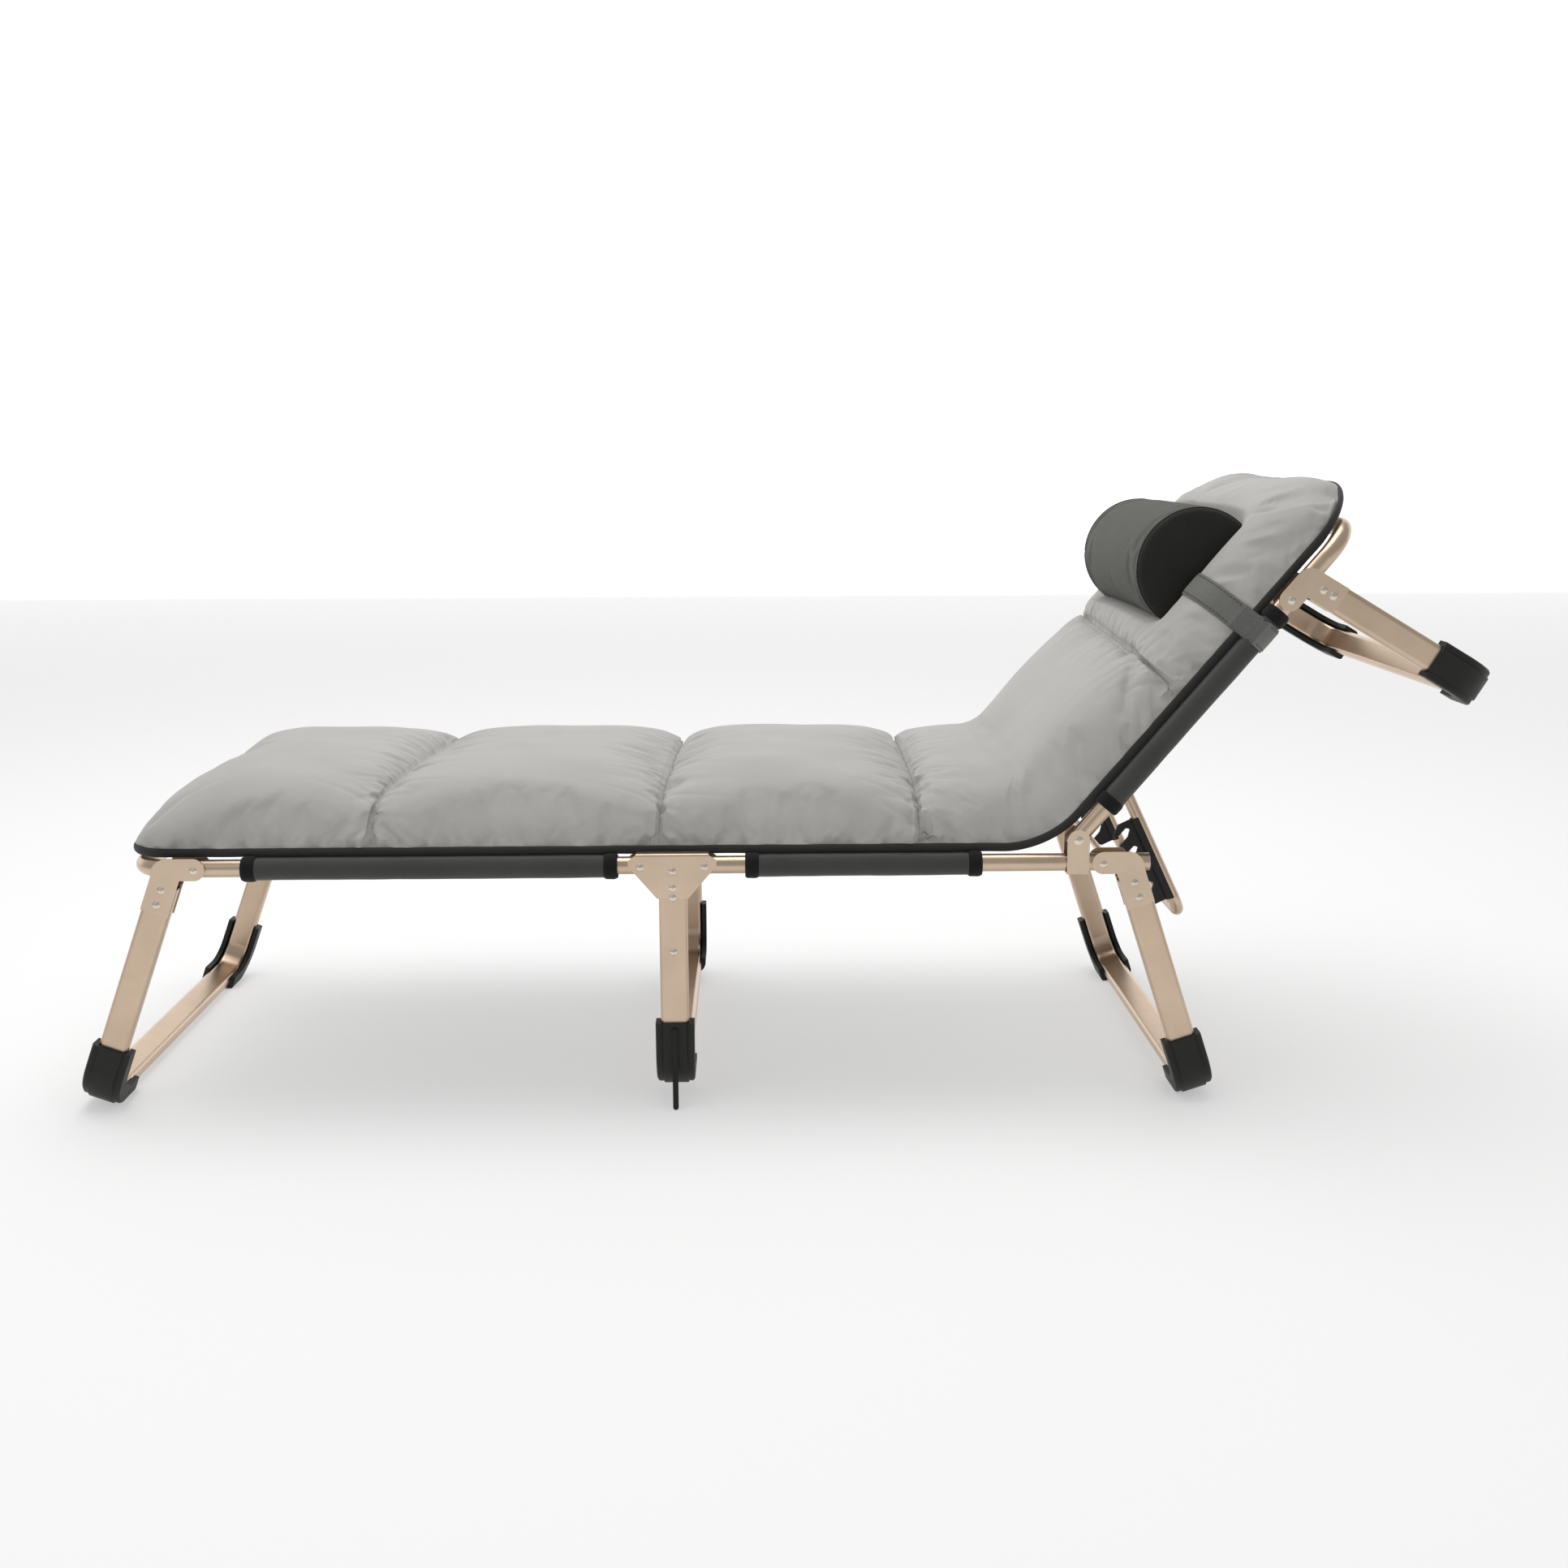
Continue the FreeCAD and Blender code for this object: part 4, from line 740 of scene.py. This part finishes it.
def sling_section():
    """Across the cot: down from the left sleeve's seam, round both rails and back."""
    turn = np.radians(np.linspace(-150, 90, 40))
    sleeve_y = RAIL_SIDE + SLEEVE_RADIUS * np.cos(turn)
    sleeve_z = -SLEEVE_DROP + SLEEVE_RADIUS * np.sin(turn)
    sleeve_z[-6:] = np.linspace(sleeve_z[-6], SHEET_RISE, 6)
    seam = np.array([[RAIL_SIDE - HEM_INSET, SHEET_RISE - 0.0022],
                     [RAIL_SIDE - HEM_INSET + 0.008, SHEET_RISE - SHEET_SAG]])
    right = np.concatenate([seam, np.stack([sleeve_y, sleeve_z], axis=1)])
    sag = np.linspace(1, -1, 61)[1:-1] * (RAIL_SIDE - 0.004)
    sheet = np.stack([sag, SHEET_RISE - SHEET_SAG * (1 - (sag / RAIL_SIDE)**2)], axis=1)
    left = (right * (-1, 1))[::-1]
    return np.concatenate([right, sheet, left])


def add_sling(name):
    body, near, far = SLINGS[name]
    section = sling_section()
    low, high = near + 0.004, far - 0.004
    along = np.linspace(low, high, max(20, round((high - low) / 0.008)))
    a, y = np.meshgrid(along, section[:, 0], indexing="ij")
    z = np.broadcast_to(section[:, 1], a.shape)
    ends = np.clip(np.minimum(a - low, high - a) / 0.05, 0, 1)
    pull = 0.0007 * ripple(a / 0.045, y / 0.02, 71.0) * (0.4 + 0.6 * (1 - ends))
    sleeve = np.clip((np.abs(y) - RAIL_SIDE + 0.02) / 0.02, 0, 1)
    push = np.sign(z) * pull * sleeve + 0.0006 * ripple(a / 0.20, y / 0.15, 73.0)
    points = [on_rail(body, *place) for place in zip(a.ravel(), y.ravel(), (z + push).ravel())]
    steps = np.linalg.norm(np.diff(section, axis=0), axis=1)
    v = np.broadcast_to(np.concatenate([[0], np.cumsum(steps)]), a.shape)
    sling = new_object(name + "_sling_cloth", points, grid_faces(*a.shape, False),
                       MATERIALS["sleeve_cloth"], np.stack([a, v], axis=-1).reshape(-1, 2))
    thick = sling.modifiers.new("cloth", "SOLIDIFY")
    thick.thickness = 0.0009
    thick.offset = 0
    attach(sling, body)
    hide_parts(name + "_sling")
    rows = []
    for side in (-1, 1):
        for inset in (0.002, 0.007):
            place = side * (RAIL_SIDE - HEM_INSET + inset)
            line = [on_rail(body, step, place, SHEET_RISE + 0.0004) for step in along[::2]]
            under = [on_rail(body, step, place, SHEET_RISE - 0.0046) for step in along[::2]]
            rows += [stitches(line), stitches(under)]
    threads = new_object(name + "_sling_stitches", *gather(rows), MATERIALS["thread"])
    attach(threads, body)


def band_part(body, start, side, number):
    """A webbing collar with a raised, folded end, round a rail's sleeve."""
    across = np.linspace(-1, 1, 9)
    turn = np.linspace(0, 2 * math.pi, 49)[:-1]
    edge = 1 - 0.10 * np.abs(across)**4
    w, t = np.meshgrid(across, turn, indexing="ij")
    lap = 1 / (1 + np.exp((np.abs(t - 4.1 - 0.1 * number) - 0.35) / 0.03))
    crease = 0.0004 * ripple(w / 0.5, t / 0.4, 81.0 + number)
    inner, outer = [], []
    for target, radius in ((inner, SLEEVE_RADIUS + BAND_INNER),
                           (outer, SLEEVE_RADIUS + BAND_OUTER)):
        r = radius * np.where(target is outer, edge[:, None], 1.0)
        r = r + (crease + BAND_LAP * lap if target is outer else 0)
        places = zip((start + BAND_WIDTH / 2 * (1 + w)).ravel(),
                     (side * (RAIL_SIDE + r * np.cos(t))).ravel(),
                     (-SLEEVE_DROP + r * np.sin(t)).ravel())
        target += [on_rail(body, *place) for place in places]
    rows, columns = w.shape
    count = rows * columns
    faces = grid_faces(rows, columns, True)
    faces += [tuple(i + count for i in face)[::-1] for face in grid_faces(rows, columns, True)]
    for row in (0, rows - 1):
        for j in range(columns):
            a, b = row * columns + j, row * columns + (j + 1) % columns
            faces.append((a, b, b + count, a + count))
    return np.array(inner + outer), faces


def add_bands(name):
    body, near, far = SLINGS[name]
    parts = [band_part(body, start, side, number)
             for number, start in enumerate((near, far - BAND_WIDTH)) for side in (-1, 1)]
    bands = new_object(name + "_bands", *gather(parts), MATERIALS["band_cloth"])
    edges = bands.modifiers.new("soft edges", "BEVEL")
    edges.width = 0.0006
    edges.segments = 2
    edges.limit_method = "ANGLE"
    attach(bands, body)
    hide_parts(name + "_sleeve_bands")


# ---------------------------------------------------------------- pillow and strap

def pillow_outline(scale=1.0):
    """The pillow's end: a half round on a short straight base, as along and height."""
    base, spring, radius = PILLOW_BASE, PILLOW_BASE + PILLOW_SPRING, PILLOW_RADIUS
    flat = radius - PILLOW_BASE_ROUND
    foot = np.stack([np.linspace(-flat, flat, PILLOW_BASE_POINTS),
                     np.full(PILLOW_BASE_POINTS, base)], 1)
    soft = np.array([[radius - 0.0017, base + 0.0017], [radius, base + PILLOW_BASE_ROUND]])
    turn = np.linspace(0, math.pi, PILLOW_DOME_POINTS)
    dome = np.stack([radius * np.cos(turn), spring + radius * np.sin(turn)], 1)
    ring = np.concatenate([foot, soft, dome, soft[::-1] * (-1, 1)])
    centre = np.array([0, base + 0.42 * radius])
    return centre + (ring - centre) * scale


def add_pillow():
    ring = pillow_outline()
    columns, ends = len(ring), len(PILLOW_END)
    inner = PILLOW_HALF - PILLOW_ROUND
    stations = [(-PILLOW_HALF + inset, share) for inset, share in PILLOW_END]
    stations += [(y, 1.0) for y in np.linspace(-inner, inner, PILLOW_STATIONS)]
    stations += [(-y, share) for y, share in stations[ends - 1::-1]]
    points, uvs = [], []
    steps = np.linalg.norm(np.diff(np.concatenate([ring, ring[:1]]), axis=0), axis=1)
    around = np.concatenate([[0], np.cumsum(steps)[:-1]])
    for y, share in stations:
        for (along, height), v in zip(pillow_outline(share), around):
            points.append(on_rail("back", PILLOW_REACH + along, y, height))
            uvs.append((y, v) if share == 1.0 else (along, height))
    faces = grid_faces(len(stations), columns, True)
    last = (len(stations) - 1) * columns
    faces += [tuple(range(columns))[::-1], tuple(last + j for j in range(columns))]
    pillow = new_object("pillow_cushion", points, faces, MATERIALS["pillow_cloth"], uvs)
    held = [*range(ends + 1), *range(len(stations) - ends - 1, len(stations))]
    seams = [row * columns + j for row in held for j in range(columns)]
    flat = [i * columns + j for i in range(len(stations)) for j in range(PILLOW_BASE_POINTS)]
    moved = swell(pillow, seams + flat, 2.5, 0.012, 0.0025)
    pillow.data.vertices.foreach_set("co", moved.ravel())
    mark_ends(pillow, columns, len(stations), ends - 1)
    smooth = pillow.modifiers.new("smooth", "SUBSURF")
    smooth.levels = smooth.render_levels = 1
    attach(pillow, "pillow")
    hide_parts("pillow")
    add_pillow_cords()


def mark_ends(pillow, columns, rows, ends):
    """The pillow's ends are covered in a darker cloth."""
    pillow.data.materials.append(MATERIALS["pillow_end"])
    for number, face in enumerate(pillow.data.polygons):
        row = number // columns
        if row < ends or row >= rows - 1 - ends:
            face.material_index = 1


def add_pillow_cords():
    """A thin corded seam round each end of the pillow."""
    parts, base = [], PILLOW_BASE_POINTS
    ring = pillow_outline(PILLOW_END[-1][1] + 0.004)
    for side in (-1, 1):
        place = side * (PILLOW_HALF - PILLOW_END[-1][0])
        path = [on_rail("back", PILLOW_REACH + along, place, height)
                for along, height in np.concatenate([ring[base:], ring[:base:base // 3]])]
        parts.append(tube_mesh(path, PILLOW_CORD_RADIUS, PILLOW_CORD_RADIUS, sides=7))
    cords = new_object("pillow_seams", *gather(parts), MATERIALS["pillow_end"])
    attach(cords, "pillow")


def strap_loop(grid, places):
    """Round the mat and both rails, as side and height above the back's rail line."""
    s = STRAP_REACH - BACK_SHIFT
    row = int(np.argmin(np.abs(places[:, TOP_COLUMNS, 0] - s)))
    rows = grid[row - 4:row + 5, :2 * TOP_COLUMNS - 1]
    outward = np.array([-math.sin(BACK_ANGLE), 0, math.cos(BACK_ANGLE)])
    heights = ((rows - np.array([PIVOT_X, 0, PIVOT_Z])) @ outward).max(axis=0)
    sides = rows[..., 1].mean(axis=0)
    keep = heights > MAT_RISE + 0.012
    y, height = sides[keep][::4], heights[keep][::4] + STRAP_GAP
    if y[0] > y[-1]:
        y, height = y[::-1], height[::-1]
    y = y + np.sign(y) * STRAP_GAP * (np.abs(y) > 0.27)
    turn = np.radians(np.linspace(10, -90, 14))
    radius = SLEEVE_RADIUS + 0.002
    rail = np.stack([RAIL_SIDE + radius * np.cos(turn),
                     -SLEEVE_DROP + radius * np.sin(turn)], axis=1)
    under = np.stack([np.linspace(RAIL_SIDE, -RAIL_SIDE, 60)[1:-1],
                      np.full(58, rail[-1, 1])], axis=1)
    top = np.stack([y, height], axis=1)
    return np.concatenate([top, rail, under, (rail * (-1, 1))[::-1]])


def add_strap(grid, places):
    loop = strap_loop(grid, places)
    count = len(loop)
    forward = np.roll(loop, -1, axis=0) - np.roll(loop, 1, axis=0)
    normal = np.stack([-forward[:, 1], forward[:, 0]], axis=1)
    normal /= np.linalg.norm(normal, axis=1)[:, None]
    across = np.linspace(-1, 1, 7)
    edge = np.maximum(1 - np.abs(across)**6, 0.35)
    sections = [(w, -0.1) for w in across] + [(w, e) for w, e in zip(across[::-1], edge)]
    points, uvs = [], []
    steps = np.linalg.norm(np.roll(loop, -1, axis=0) - loop, axis=1)
    length = np.concatenate([[0], np.cumsum(steps)[:-1]])
    for (y, height), (ny, nh), v in zip(loop, normal, length):
        for w, e in sections:
            lift = STRAP_THICK * e
            points.append(on_rail("back", STRAP_REACH + STRAP_HALF * w, y + ny * lift,
                                  height + nh * lift))
            uvs.append((STRAP_HALF * w, v))
    columns = len(sections)
    faces = grid_faces(count, columns, True)
    faces += [((count - 1) * columns + j, (count - 1) * columns + (j + 1) % columns,
               (j + 1) % columns, j) for j in range(columns)]
    strap = new_object("pillow_strap_webbing", points, faces, MATERIALS["strap_webbing"], uvs)
    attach(strap, "pillow")
    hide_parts("pillow_strap")
    rows = []
    for w in (-0.80, 0.80):
        line = [on_rail("back", STRAP_REACH + STRAP_HALF * w, y + ny * STRAP_THICK,
                        height + nh * STRAP_THICK)
                for (y, height), (ny, nh) in zip(loop, normal)]
        rows.append(stitches(line, radius=0.0004))
    threads = new_object("pillow_strap_stitches", *gather(rows), MATERIALS["binding"])
    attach(threads, "pillow")


# ---------------------------------------------------------------- the whole scene

def main():
    add_camera()
    add_studio()
    paint_cad()
    grid, places = add_mat()
    for name in SLINGS:
        add_sling(name)
        add_bands(name)
    add_pillow()
    add_strap(grid, places)


main()
